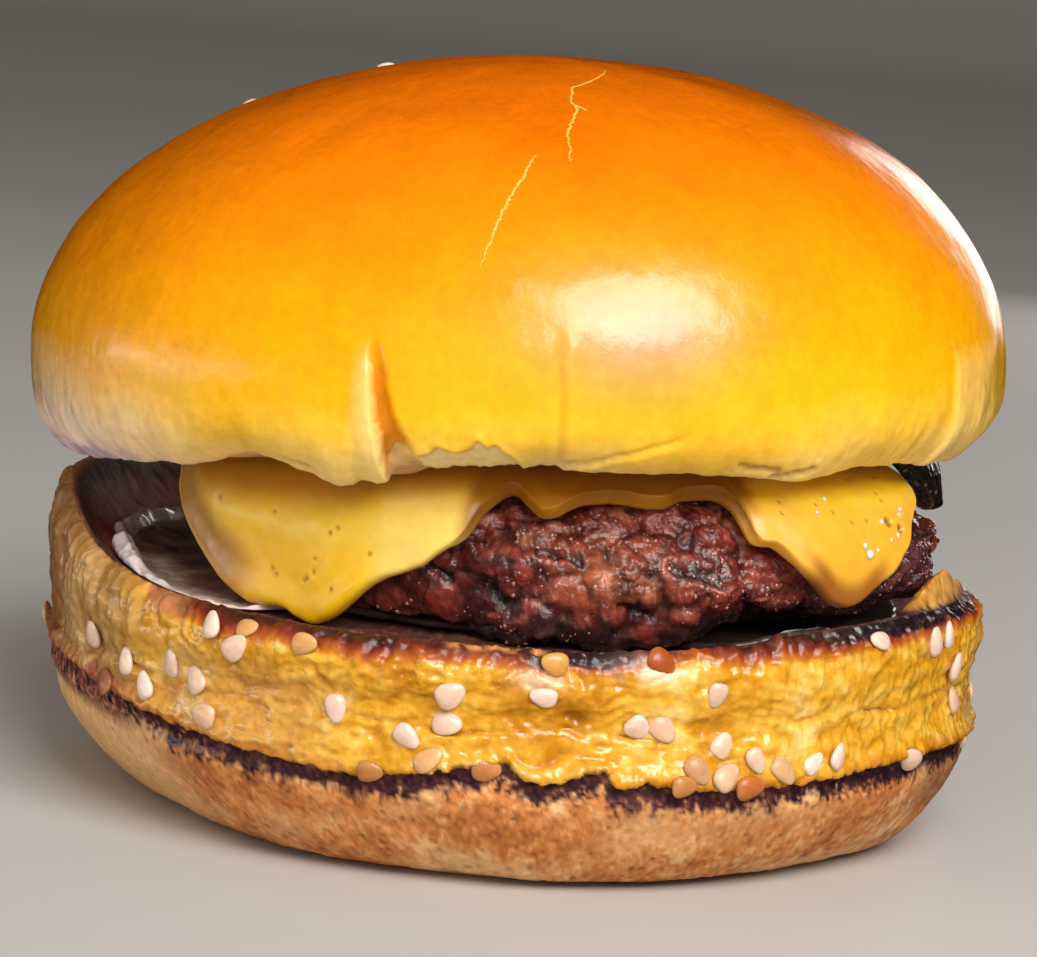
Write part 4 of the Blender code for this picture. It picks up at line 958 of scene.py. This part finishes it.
def make_cheese():
    az = columns(CHEESE_COLUMNS, *FRONT_SHARE)
    edge = round_curve(CHEESE_EDGE, az)
    edge = edge + 0.28 * fbm(polar(0, 46, az, 0) / 4.0, 3, 101)
    outer = [0.0, 14.0, 24.0, 30.0, CHEESE_LEVEL]
    steps = np.linspace(0.0, 1.0, CHEESE_ROWS)[1:]
    reach = [np.full_like(az, v) for v in outer] + [CHEESE_LEVEL + (edge - CHEESE_LEVEL) * s for s in steps]
    count = len(reach)
    depth = [np.zeros_like(az)] * count
    for turn in np.linspace(0.0, math.pi, CHEESE_LIP_ROWS + 2)[1:-1]:
        reach.append(edge + 0.0)
        depth.append(np.full_like(az, 0.5 - 0.5 * math.cos(turn)))
    back = [CHEESE_LEVEL + (edge - CHEESE_LEVEL) * s for s in np.linspace(1.0, 0.0, 26)]
    back += [np.full_like(az, v) for v in (30.0, 20.0, 0.0)]
    reach += back
    depth += [np.ones_like(az)] * len(back)
    reach, depth = np.array(reach), np.array(depth)
    a = np.broadcast_to(az, reach.shape)
    radius, height, slope = cheese_face(reach)
    rows = np.arange(len(reach))[:, None]
    lip_rows = (rows >= count) & (rows < count + CHEESE_LIP_ROWS)
    round_lip = np.sin(np.clip((rows - count + 1) / (CHEESE_LIP_ROWS + 1.0), 0, 1) * math.pi)
    bulge = np.where(lip_rows, CHEESE_LIP * round_lip, 0.0)
    inward = depth * CHEESE_THICK
    radius = radius - inward * np.sin(slope) + bulge * np.cos(slope)
    height = height - inward * np.cos(slope) - bulge * np.sin(slope)
    world = polar(PATTY_X, radius, a, height)
    normal = grid_normals(world)
    front = (depth < 0.5)
    near_edge = smooth((reach - edge[None, :] + 3.0) / 3.0)
    d = front * (0.34 * fbm(world / 11.0, 2, 102) + 0.1 * fbm(world / 3.5, 2, 103))
    hang = smooth((reach - 46.0) / 8.0)
    d += front * hang * (0.3 * near_edge + 0.25 * np.sin(np.radians(a) * 22.0 + 1.0) * 0.5)
    d -= front * 0.3 * near_edge * (1 - hang)
    # The two holes are painted dark as shade in them; the specks are dark marks of their own.
    pits = [(49.2, 46.0, 0.55), (51.4, 46.9, 0.5)] + [(pa, pr, 0.24) for pa, pr in CHEESE_SPECKS]
    dark = np.zeros_like(reach)
    for pa, pr, size in pits:
        away = np.hypot(signed(a - pa) * 0.8, reach - pr) / size
        hole = np.exp(-away ** 4) * front
        d -= 3.0 * size * size * hole
        dark += hole * min(1.0, 0.2 + 1.5 * size)
    world = world + normal * d[..., None]

    cheese = grid_mesh("cheese_slice", world)
    mottle = fbm(world / 8.0, 3, 104)
    fine = fbm(world / 1.6, 3, 105)
    colour = ramp([(-1.0, (252, 190, 22)), (0.0, (255, 204, 36)), (1.0, (255, 212, 70))],
                  mottle + 0.3 * fine)
    cream = smooth((gap_deg(a, -16.0) - 12.0) / -6.0) * smooth((reach - 42.0) / 4.0)
    cream = cream + smooth((gap_deg(a, 27.0) - 8.0) / -5.0) * smooth((reach - 42.0) / 4.0)
    colour = mix(colour, rgb(250, 218, 128), np.clip(0.6 * cream, 0, 1))
    deep = smooth((gap_deg(a, -38.0) - 16.0) / -8.0) * smooth((reach - 50.0) / 4.0)
    colour = mix(colour, rgb(248, 188, 0), 0.75 * deep)
    shade = smooth((round_curve(CHEESE_SHADE, az)[None, :] + 1.6 - reach + 0.6 * mottle) / 4.2)
    colour = mix(colour, rgb(176, 110, 20), 0.9 * shade)
    west = signed(a)
    # Painted shade: the strip in the middle is darkened where the crown shades it.
    middle = band(west, -12.0, 25.0, 3.0)
    colour = mix(colour, rgb(160, 100, 4), 0.95 * middle)
    sunlit = band(west, 24.0, 70.0, 5.0) * smooth((reach - 42.0) / 3.0)
    colour = mix(colour, rgb(232, 168, 50), 0.8 * sunlit)
    # Painted shade: a brown-ochre band along the left edge.
    fringe = smooth((-41.0 - west) / 8.0) * smooth((west + 100.0) / 10.0)
    fringe *= smooth((reach - edge[None, :] + 6.4) / 3.4)
    colour = mix(colour, rgb(166, 116, 58), 0.85 * fringe)
    line = smooth((-46.0 - west) / 6.0) * smooth((west + 110.0) / 10.0)
    line *= smooth((reach - edge[None, :] + 0.5) / 0.4)
    colour = mix(colour, rgb(226, 180, 104), 0.7 * line)
    tip = smooth((gap_deg(a, 40.0) - 8.5) / -4.0) * smooth((reach - edge[None, :] + 3.0) / 2.4)
    colour = mix(colour, rgb(140, 72, 28), 0.85 * tip)
    # Dark specks, and painted shade in the two holes.
    colour = mix(colour, rgb(60, 32, 14), np.clip(dark * 1.2, 0, 1) * 0.9)
    rough = 0.38 + 0.08 * fine + 0.05 * mottle
    paint(cheese, paint=pack(np.clip(colour, 0, 1)), rough=pack(np.clip(rough, 0.1, 0.8)))
    return cheese


# Sauce and gherkin.

def heel_cut_height(radius, azimuth):
    plain = lookup(HEEL_PROFILE[:7], radius)
    return plain + lookup(CREST_INNER, radius) * (round_curve(HEEL_RIM, azimuth) - HEEL_CREST)


# Height of the sauce's white edge, by azimuth: lumps at the left, a thread at the right.
RIDGE = [(-80, 1.2), (-70, 1.9), (-60, 1.7), (-52, 1.2), (-49, 0.6), (-41, 0.5), (-38.5, 0.9), (-35.0, 0.8),
         (-33.5, 0.0), (34, 0.0), (37, 0.3), (44, 0.35), (45.5, 1.0), (47.5, 0.8), (49, 0.0), (104, 0.0),
         (120, 0.8), (150, 0.5), (170, 1.1), (200, 0.7), (230, 1.2), (262, 0.9), (280, 0.8)]


SAUCE_COLUMNS, SAUCE_LIP_ROWS, SAUCE_SWELL = 560, 9, 0.45
SAUCE_GAP, SAUCE_THIN_START, SAUCE_THIN_SPAN = 0.3, 29.0, 8.0


def make_sauce():
    az = columns(SAUCE_COLUMNS, *FRONT_SHARE)
    edge = round_curve(SAUCE_EDGE, az) + 0.5 * fbm(polar(0, 46, az, 0) / 3.6, 3, 111)
    shares = np.concatenate([np.linspace(0, 0.8, 8), np.linspace(0.8, 1.0, 40)[1:]])
    under = np.linspace(1.0, 0.0, 16)
    lip = np.linspace(0, math.pi, SAUCE_LIP_ROWS)[1:-1]
    layer = np.concatenate([np.ones(len(shares)), 0.5 + 0.5 * np.cos(lip), np.zeros(len(under))])
    share = np.concatenate([shares, np.ones(len(lip)), under])
    push = np.concatenate([np.zeros(len(shares)), SAUCE_SWELL * np.sin(lip), np.zeros(len(under))])
    reach = share[:, None] * edge[None, :]
    a = np.broadcast_to(az, reach.shape)
    thinning = smooth((reach - SAUCE_THIN_START) / SAUCE_THIN_SPAN)
    thick = SAUCE_THICK + (SAUCE_EDGE_THICK - SAUCE_THICK) * thinning
    show = np.maximum(lookup(RIDGE, (a + 80.0) % 360.0 - 80.0), 0.0)
    line = polar(HEEL_X, reach, a, 0.0)
    at_left = smooth((gap_deg(a, -66.0) - 15.0) / -6.0)
    slim = 0.42 + 0.45 * smooth((show - 0.5) / 0.6) + 0.5 * at_left
    ridge = np.exp(-((reach - edge[None, :] + 0.2 + 0.6 * slim) / slim) ** 2) * show
    wave = fbm(line / 2.4, 3, 112)
    extra = ridge * (1.0 + 0.8 * wave) * layer[:, None]
    free = smooth((np.hypot(line[..., 0] - PATTY_X, line[..., 1]) - 41.5) / 3.0)
    world = polar(HEEL_X, reach + push[:, None], a, 0.0)
    sunk = smooth((gap_deg(a, -56.0) - 30.0) / -10.0) * smooth((reach - 38.0) / 4.0)
    thick = thick - 0.75 * sunk
    extra = extra * (1.0 - (0.6 - 0.45 * at_left) * sunk)
    world[..., 2] = heel_cut_height(reach, a) + SAUCE_GAP + thick * layer[:, None]
    world[..., 2] += np.maximum(extra, 0) * free + layer[:, None] * free * 0.12 * wave
    sauce = grid_mesh("white_sauce", world)
    fine = fbm(world / 1.5, 3, 113)
    colour = ramp([(-1.0, (238, 216, 216)), (0.0, (248, 232, 232)), (1.0, (255, 248, 244))], fine + wave)
    thin = smooth((0.3 - ridge + 0.12 * fine) / 0.22)
    milky = 2.3 * smooth((gap_deg(a, -56.0) - 26.0) / -10.0)
    milky *= smooth((reach - edge[None, :] + 8.5) / 5.5)
    # Thin sauce: a brownish soaked smear, partly painted shade, darkened further as painted shade under the
    # patty from the front round to the right.
    smear = ramp([(-1.0, (88, 60, 56)), (0.0, (124, 88, 78)), (0.6, (196, 162, 140)),
                  (1.2, (252, 234, 216))],
                 0.6 * fbm(world / 5.0, 2, 114) + 0.2 * fine + milky)
    smear = smear * (1.0 - 0.84 * smooth((gap_deg(a, 40.0) - 74.0) / -16.0))[..., None]
    colour = mix(colour, smear, thin)
    rough = 0.3 + 0.2 * thin + 0.06 * fine
    paint(sauce, paint=pack(np.clip(colour, 0, 1)), rough=pack(np.clip(rough, 0.1, 0.8)))
    return sauce


PICKLE_CORNER = 0.7


def make_pickle():
    steps = np.linspace(0.0, 360.0, 240, endpoint=False)
    flat_radius = PICKLE_RADIUS - PICKLE_CORNER
    top = [(r, 1.0) for r in np.linspace(0.0, flat_radius, 34)]
    side = [(flat_radius + PICKLE_CORNER * math.sin(t), 0.5 + 0.5 * math.cos(t))
            for t in np.linspace(0.0, math.pi, 16)[1:-1]]
    rows = np.array(top + side + [(r, 0.0) for r, _ in reversed(top)])
    r = np.broadcast_to(rows[:, :1], (len(rows), len(steps)))
    a = np.broadcast_to(steps, r.shape)
    flat = polar(PICKLE_X, r, a, 0.0)
    h = np.broadcast_to(rows[:, 1:], r.shape) * PICKLE_THICK
    dent = 0.3 * np.abs(fbm(flat / 2.4, 3, 121)) + 0.14 * np.abs(fbm(flat / 0.8, 3, 122))
    h = h - np.where(rows[:, 1:] > 0.5, dent, 0.0)
    x, y = flat[..., 0] - PATTY_X, flat[..., 1] + PICKLE_Y
    away = np.hypot(x, y)
    beyond = np.maximum(away - PICKLE_BEND_START, 0.0)
    inner = PICKLE_BEND_RADIUS
    turn = np.minimum(math.radians(PICKLE_BEND_ANGLE), beyond / (inner + PICKLE_THICK / 2.0))
    straight = beyond - turn * (inner + PICKLE_THICK / 2.0)
    out = (inner + h) * np.sin(turn) + straight * np.cos(turn)
    level = (inner + h) * np.cos(turn) - inner - straight * np.sin(turn)
    reach = np.where(beyond > 0, PICKLE_BEND_START + out, away) / np.maximum(away, 1e-6)
    rise = np.where(beyond > 0, level, h)
    world = at(PATTY_X + x * reach, y * reach, PICKLE_Z + rise)
    pickle = grid_mesh("gherkin", world)
    fine = fbm(world / 1.4, 3, 123)
    # Near-black body: partly the gherkin's own dark tone, partly painted shade under the crown.
    colour = ramp([(-1.0, (20, 20, 20)), (0.0, (34, 32, 30)), (1.0, (74, 62, 58))], fine)
    glint, _, draws = cells(world / 0.55, 124)
    glint = smooth((0.4 - glint) / 0.2) * (draws > 0.8)
    colour = mix(colour, rgb(176, 138, 134), 0.7 * glint)
    rind = smooth((r - PICKLE_RADIUS + 1.3) / 0.5) * smooth((70.0 - gap_deg(a, -80.0)) / 20.0)
    colour = mix(colour, rgb(166, 178, 112), 0.85 * rind)
    moss = 0.4 * smooth((world[..., 0] - 44.8 + fine) / 1.5) * smooth((world[..., 2] - 42.4) / 1.5)
    colour = mix(colour, rgb(104, 112, 88), 0.7 * moss)
    paint(pickle, paint=pack(np.clip(colour, 0, 1)), rough=pack(np.clip(0.24 + 0.08 * fine, 0.08, 0.7)))
    return pickle


# Seeds.

def seed_points(segments=14, rings=11):
    """One teardrop seed lying along Z, thickness along Y."""
    t = np.linspace(0.0, math.pi, rings)
    turn = np.linspace(0.0, math.tau, segments, endpoint=False)
    wide = np.sin(t) ** 0.75 * (1.0 - 0.28 * np.cos(t)) * 0.5
    x = wide[:, None] * np.cos(turn) * SEED_WIDTH
    y = wide[:, None] * np.sin(turn) * SEED_THICK
    y = np.sign(y) * np.abs(y) ** 1.1 * 0.98
    z = (np.cos(t) * 0.5 * SEED_LENGTH)[:, None]
    return at(x, y, z)[:, ::-1]


def bvh(piece):
    return BVHTree.FromPolygons([v.co / MM for v in piece.data.vertices],
                                [tuple(p.vertices) for p in piece.data.polygons])


def lay_seeds(name, piece, rays, tones, draw):
    base = seed_points()
    rings, segments = base.shape[:2]
    points, faces, colours = [], [], []
    tree = bvh(piece)
    for (origin, direction, lean, size), tone in zip(rays, tones):
        spot, normal = tree.ray_cast(Vector(origin), Vector(direction).normalized())[:2]
        if spot is None:
            continue
        normals = [normal]
        for dx, dz in ((0.9, 0), (-0.9, 0), (0, 0.9), (0, -0.9)):
            side = Vector((-direction[1], direction[0], 0.0)).normalized() * dx + Vector((0, 0, dz))
            hit = tree.ray_cast(Vector(origin) + side, Vector(direction).normalized())
            if hit[0] is not None and (hit[0] - spot).length < 2.5:
                normals.append(hit[1])
        normal = sum(normals, Vector()).normalized()
        up = Vector((0.0, 0.0, 1.0)) if abs(normal.z) < 0.9 else Vector((0.0, 1.0, 0.0))
        across = up.cross(normal).normalized()
        along = normal.cross(across).normalized()
        axes = Matrix((across, normal, along)).transposed() @ Matrix.Rotation(math.radians(lean), 3, "Y")
        axes = np.array(axes)
        wobble = 1.0 + 0.06 * draw.uniform(-1, 1)
        shape = base * np.array([size * wobble, size, size / wobble])
        bend = draw.uniform(-0.05, 0.05)
        shape = shape + at(bend * shape[..., 2] ** 2, 0.0, 0.0)
        placed = shape @ axes.T + np.array(spot + normal * SEED_SUNK)
        start = len(points)
        points.extend(pack(placed).tolist())
        faces += grid_faces(rings - 2, segments, start, True)
        ends = np.abs(shape[..., 2]) / SEED_LENGTH * 2.0
        lit = np.broadcast_to(rgb(*tone), shape.shape)
        lit = mix(lit, rgb(214, 170, 120), 0.35 * smooth((ends - 0.75) / 0.3))
        # A darker face inside a pale rim, and an amber line where the seed meets the crust.
        face = smooth((shape[..., 1] - 0.3) / 0.2)
        lit = mix(lit, lit * np.array([0.97, 0.88, 0.84]), face)
        foot = smooth((0.1 - shape[..., 1]) / 0.26)
        lit = mix(lit, rgb(150, 88, 36), 0.85 * foot)
        colours.append(pack(lit))
    seeds = mesh_piece(name, points, faces)
    colours = np.concatenate(colours)
    shade = 1.0 + 0.12 * fbm(np.array(points) / 0.8, 2, 131)
    paint(seeds, paint=np.clip(colours * shade[:, None], 0, 1), rough=np.full(len(points), 0.4))
    return seeds


# Screen colours of the seeds, and of the browner ones by their place in FRONT_SEEDS.
TONES = [(240, 214, 196), (234, 204, 180), (246, 226, 210), (228, 192, 158), (238, 208, 192)]
AMBER_SEEDS = {1: (222, 168, 104), 9: (222, 170, 104), 13: (226, 182, 120), 15: (216, 164, 78),
               20: (206, 156, 112), 23: (220, 178, 130), 34: (150, 96, 66), 35: (226, 184, 134),
               36: (170, 86, 30), 37: (190, 130, 70), 38: (200, 138, 76), 39: (196, 138, 74),
               40: (190, 110, 50)}


def heel_rays():
    draw = random.Random(SEED_RANDOM)
    spots = list(FRONT_SEEDS)
    tries = 0
    while len(spots) < len(FRONT_SEEDS) + BACK_SEEDS and tries < 4000:
        tries += 1
        azimuth = draw.uniform(84.0, 272.0)
        height = draw.uniform(12.8, 23.8)
        apart = [math.hypot(float(gap_deg(azimuth, a)) * 0.9, height - h) for a, h, _ in spots]
        if min(apart) > BACK_SEED_SPACING * 0.92:
            spots.append((azimuth, height, draw.uniform(-90.0, 90.0)))
    rays = []
    for azimuth, height, lean in spots:
        outside = polar(HEEL_X, 80.0, azimuth, height)
        inside = polar(HEEL_X, 0.0, azimuth, height)
        rays.append((outside, inside - outside, lean, draw.uniform(0.88, 1.08)))
    return rays


def crown_rays():
    draw = random.Random(SEED_RANDOM + 1)
    middle = np.array([CROWN_X, 0.0, CROWN_Z])
    rays = []
    for azimuth, share in CROWN_SEEDS:
        angle = share * math.pi / 2.0
        away = polar(0.0, math.sin(angle), azimuth, math.cos(angle) * 0.75)
        rays.append((middle + away * 100.0, -away, draw.uniform(-90.0, 90.0), draw.uniform(0.88, 1.08)))
    return rays


# Small things.

BEAD_ROWS, BEAD_SIDES = 5, 6


def ball_cloud(name, centres, sizes, normals, flatten=0.7):
    """Small smooth beads, each a squashed low ball."""
    t = np.linspace(0.0, math.pi, BEAD_ROWS)[:, None]
    turn = np.linspace(0.0, math.tau, BEAD_SIDES, endpoint=False)
    base = pack(at(np.sin(t) * np.cos(turn), np.sin(t) * np.sin(turn), np.cos(t)))
    around = grid_faces(BEAD_ROWS - 2, BEAD_SIDES)
    points, faces = [], []
    for k, (centre, size, normal) in enumerate(zip(centres, sizes, normals)):
        squash = base * size
        lift = squash @ normal
        squash = squash - np.outer(lift, normal) * (1.0 - flatten)
        points.append(squash + centre)
        faces += [tuple(v + len(base) * k for v in face) for face in around]
    return mesh_piece(name, np.concatenate(points), faces)


def ribbon(points, normals, widths):
    """Strip of quads along a line on a surface."""
    points, normals = np.array(points), np.array(normals)
    along = np.gradient(points, axis=0)
    side = np.cross(normals, along)
    side /= np.maximum(np.linalg.norm(side, axis=1, keepdims=True), 1e-9)
    rows = []
    for k in (-1.0, -0.35, 0.35, 1.0):
        lift = 0.05 if abs(k) < 0.9 else -0.04
        rows.append(points + side * (k * 0.5 * widths)[:, None] + normals * lift)
    return np.stack(rows, 1)


# Hairline cracks as (azimuth, height above the widest line).
CRACK_STEPS, CRACK_WIDTH = 14, 0.42
CRACKS = [[(34.3, 32.1), (23.1, 31.4), (14.0, 30.7), (11.8, 29.7), (12.4, 28.9), (10.0, 27.7), (8.6, 26.6),
           (8.3, 25.2), (7.8, 23.8)],
          [(12.2, 29.3), (14.2, 28.8)],
          [(2.7, 24.4), (1.9, 23.6), (0.5, 21.9), (-0.9, 20.4), (-1.4, 19.5), (-2.6, 17.6), (-2.8, 16.7),
           (-4.1, 13.9)]]


def make_cracks(crown):
    tree = bvh(crown)
    points, faces = [], []
    draw = random.Random(9)
    for line in CRACKS:
        steps = np.linspace(0, len(line) - 1, CRACK_STEPS * (len(line) - 1))
        a, z = (np.interp(steps, range(len(line)), values) for values in zip(*line))
        spots, normals = [], []
        for azimuth, height in zip(a, z):
            azimuth += draw.gauss(0.0, 0.12)
            ring = CROWN_RADIUS * (1.0 - (height / CROWN_RISE) ** CROWN_POWER) ** (1 / CROWN_POWER)
            out = tilt_crown(polar(0.0, ring, azimuth, height))
            middle = Vector((CROWN_X, 0.0, CROWN_Z))
            away = (Vector(out) - middle).normalized()
            spot, normal = tree.ray_cast(middle + away * 90.0, -away)[:2]
            spots.append(np.array(spot))
            normals.append(np.array(normal))
        n = len(spots)
        taper = np.sin(np.linspace(0.12, math.pi - 0.12, n)) ** 0.5
        width = CRACK_WIDTH * taper * np.array([draw.uniform(0.45, 1.25) for _ in range(n)])
        strip = ribbon(spots, normals, width)
        start = len(points)
        points.extend(strip.reshape(-1, 3).tolist())
        for i in range(n - 1):
            for k in range(3):
                p = start + i * 4 + k
                faces.append((p, p + 1, p + 5, p + 4))
    piece = mesh_piece("crust_cracks", points, faces)
    paint(piece, paint=np.broadcast_to(rgb(250, 204, 84), (len(points), 3)), rough=np.full(len(points), 0.6))
    return piece


# Build.

bread = food_material("crown_glaze",
                      [(900.0, 0.90, 1.08, 5.0), (160.0, 0.93, 1.06, 3.0)],
                      [(700.0, 0.03, 4.0), (2600.0, 0.018, 3.0)], (300.0, 0.05),
                      coat="layer", coat_rough=0.2, subsurface=0.12, glow_radius=(1.0, 0.45, 0.15),
                      glow_scale=0.003, specular=0.12)
crust = food_material("heel_glaze",
                      [(1300.0, 0.85, 1.12, 5.0), (260.0, 0.88, 1.1, 4.0)],
                      [(520.0, 0.10, 4.0), (1900.0, 0.05, 3.0)], (500.0, 0.08),
                      coat="layer", coat_rough=0.12, subsurface=0.08, glow_radius=(1.0, 0.5, 0.15),
                      glow_scale=0.002)
meat = food_material("meat",
                     [(1500.0, 0.7, 1.25, 5.0), (420.0, 0.8, 1.2, 4.0)],
                     [(700.0, 0.22, 5.0), (2200.0, 0.12, 4.0)], (800.0, 0.12),
                     coat="layer", coat_rough=0.06, specular=0.6)
cheese_look = food_material("cheese",
                            [(700.0, 0.95, 1.04, 4.0)],
                            [(220.0, 0.05, 3.0), (1500.0, 0.012, 3.0)], (300.0, 0.06),
                            coat=0.14, coat_rough=0.2, subsurface=0.3, glow_radius=(1.0, 0.6, 0.15),
                            glow_scale=0.004)
cream = food_material("sauce", [(800.0, 0.96, 1.02, 3.0)], [(600.0, 0.06, 3.0)],
                      (400.0, 0.05), coat=0.6, coat_rough=0.08, subsurface=0.3,
                      glow_radius=(1.0, 0.8, 0.7), glow_scale=0.002)
green = food_material("gherkin", [(900.0, 0.75, 1.2, 4.0)], [(700.0, 0.15, 4.0)],
                      (600.0, 0.08), coat=0.7, coat_rough=0.06)
seed_look = food_material("sesame", [(1500.0, 0.9, 1.05, 3.0)], [(1800.0, 0.03, 3.0)],
                          (900.0, 0.06), coat=0.35, coat_rough=0.2, subsurface=0.25,
                          glow_radius=(1.0, 0.7, 0.5), glow_scale=0.0012)

crown = make_crown()
dress(crown, bread, "bun_top")
heel = make_heel()
dress(heel, crust, "bun_bottom")
patty, patty_points, patty_normals = make_patty()
dress(patty, meat, "patty")
slice_piece = make_cheese()
dress(slice_piece, cheese_look, "cheese")
sauce = make_sauce()
dress(sauce, cream, "mayo")
pickle = make_pickle()
dress(pickle, green, "pickle_slice")

rays = heel_rays()
draw = random.Random(77)
tones = [AMBER_SEEDS.get(i, draw.choice(TONES)) for i in range(len(rays))]
heel_seeds = lay_seeds("heel_seeds", heel, rays, tones, draw)
dress(heel_seeds, seed_look)
rays = crown_rays()
crown_seeds = lay_seeds("crown_seeds", crown, rays, [draw.choice(TONES) for _ in rays], draw)
dress(crown_seeds, seed_look)

cracks = make_cracks(crown)
dress(cracks, seed_look)

# Beads of juice that catch the light on the meat, drawn here and kept only on its wetter parts.
JUICE_BEADS = 6400
picker = np.random.default_rng(5)
wet = food_material("juice", [(900.0, 0.9, 1.1, 2.0)], [(2500.0, 0.02, 2.0)], (900.0, 0.02),
                    coat=1.0, coat_rough=0.03, specular=1.0)
rows = picker.integers(14, patty_points.shape[0] - 12, JUICE_BEADS)
cols = picker.integers(0, patty_points.shape[1], JUICE_BEADS)
keep = fbm(patty_points[rows, cols] / 4.0, 3, 91) > 0.04
rows, cols = rows[keep], cols[keep]
sizes = 0.05 + 0.24 * picker.uniform(0.0, 1.0, len(rows)) ** 3
outward = patty_normals[rows, cols]
beads = ball_cloud("meat_juice", patty_points[rows, cols] - outward * 0.02, sizes, outward, 0.42)
count = len(beads.data.vertices)
paint(beads, paint=np.broadcast_to(rgb(176, 118, 106), (count, 3)), rough=np.full(count, 0.08))
dress(beads, wet)

# Painted highlights: small white beads on the cheese where the wet glints fall.
drop_az, drop_reach, drop_size = np.array(CHEESE_DROPS).T
drop_r, drop_z, drop_turn = cheese_face(drop_reach)
spots = polar(PATTY_X, drop_r, drop_az, drop_z)
away = polar(0.0, np.sin(drop_turn), drop_az, np.cos(drop_turn))
drops = ball_cloud("cheese_glint_beads", spots + away * 0.08, drop_size, away, 0.6)
count = len(drops.data.vertices)
paint(drops, paint=np.broadcast_to(rgb(244, 232, 226), (count, 3)), rough=np.full(count, 0.2))
dress(drops, cream)

# Floor, light and camera.

# The floor runs back and turns up into a wall, in metres.
FLOOR_HALF, WALL_START, WALL_CURVE, WALL_TOP = 60.0, 4.0, 2.0, 30.0
floor_mesh = bpy.data.meshes.new("floor")
sweep = [(-FLOOR_HALF, 0.0), (WALL_START, 0.0)]
sweep += [(WALL_START + WALL_CURVE * math.sin(t), WALL_CURVE - WALL_CURVE * math.cos(t))
          for t in np.linspace(0.1, math.pi / 2.0, 16)]
sweep.append((WALL_START + WALL_CURVE, WALL_TOP))
floor_mesh.from_pydata([(x, y, z) for y, z in sweep for x in (-FLOOR_HALF, FLOOR_HALF)], [],
                       [(k, k + 1, k + 3, k + 2) for k in range(0, 2 * len(sweep) - 2, 2)])
floor_mesh.polygons.foreach_set("use_smooth", [True] * len(floor_mesh.polygons))
floor = bpy.data.objects.new("floor", floor_mesh)
bpy.context.scene.collection.objects.link(floor)
floor_look = bpy.data.materials.new("floor")
floor_look.use_nodes = True
floor_inputs = floor_look.node_tree.nodes["Principled BSDF"].inputs
floor_inputs["Base Color"].default_value = (0.55, 0.535, 0.51, 1)
floor_inputs["Roughness"].default_value = 0.7
floor_mesh.materials.append(floor_look)
floor.visible_glossy = False


LAMP_AIM = Vector((0.0, 0.0, 0.045))


def lamp(name, azimuth, elevation, distance, size, power, colour, mirrored=True):
    data = bpy.data.lights.new(name, "AREA")
    data.shape = "RECTANGLE"
    data.size, data.size_y = size
    data.energy = power
    data.color = colour
    lamp_object = bpy.data.objects.new(name, data)
    a, e = math.radians(azimuth), math.radians(elevation)
    away = Vector((math.sin(a) * math.cos(e), -math.cos(a) * math.cos(e), math.sin(e)))
    lamp_object.location = LAMP_AIM + away * distance
    lamp_object.rotation_euler = away.to_track_quat("Z", "Y").to_euler()
    lamp_object.visible_glossy = mirrored
    bpy.context.scene.collection.objects.link(lamp_object)


lamp("key", 24.0, 38.0, 0.9, (0.6, 0.46), 9.0, (1.0, 0.96, 0.93))
lamp("fill", -14.0, 12.0, 1.3, (1.2, 1.2), 5.2, (1.0, 0.97, 0.94), False)
lamp("back", 156.0, 10.0, 0.8, (0.22, 0.26), 0.55, (1.0, 0.93, 0.9))
lamp("side", -84.0, 0.5, 1.2, (1.2, 0.12), 2.2, (1.0, 0.96, 0.95))

world = bpy.data.worlds.new("studio")
bpy.context.scene.world = world
world.use_nodes = True
sky = world.node_tree.nodes["Background"].inputs
sky["Color"].default_value = (1.0, 0.95, 0.88, 1)
sky["Strength"].default_value = 0.30
world.cycles_visibility.glossy = False
bpy.context.scene.view_settings.view_transform = "Standard"

DISTANCE, ELEVATION, ROLL = 0.420, math.radians(7.7), math.radians(4.5)
SENSOR_MM, LENS_MM, CLIP = 36.0, 129.6, (0.01, 200.0)
AIM = Vector((0.00075, 0.0, 0.0359))
camera_data = bpy.data.cameras.new("camera")
camera_data.sensor_width = SENSOR_MM
camera_data.lens = LENS_MM
camera_data.clip_start, camera_data.clip_end = CLIP
camera = bpy.data.objects.new("camera", camera_data)
forward = Vector((0.0, math.cos(ELEVATION), -math.sin(ELEVATION)))
up = Vector((0.0, math.sin(ELEVATION), math.cos(ELEVATION)))
right = Vector((1.0, 0.0, 0.0))
axis_x = right * math.cos(ROLL) + up * math.sin(ROLL)
axis_y = up * math.cos(ROLL) - right * math.sin(ROLL)
turn = Matrix((axis_x, axis_y, -forward)).transposed().to_4x4()
turn.translation = AIM - forward * DISTANCE
camera.matrix_world = turn
bpy.context.scene.collection.objects.link(camera)
bpy.context.scene.camera = camera
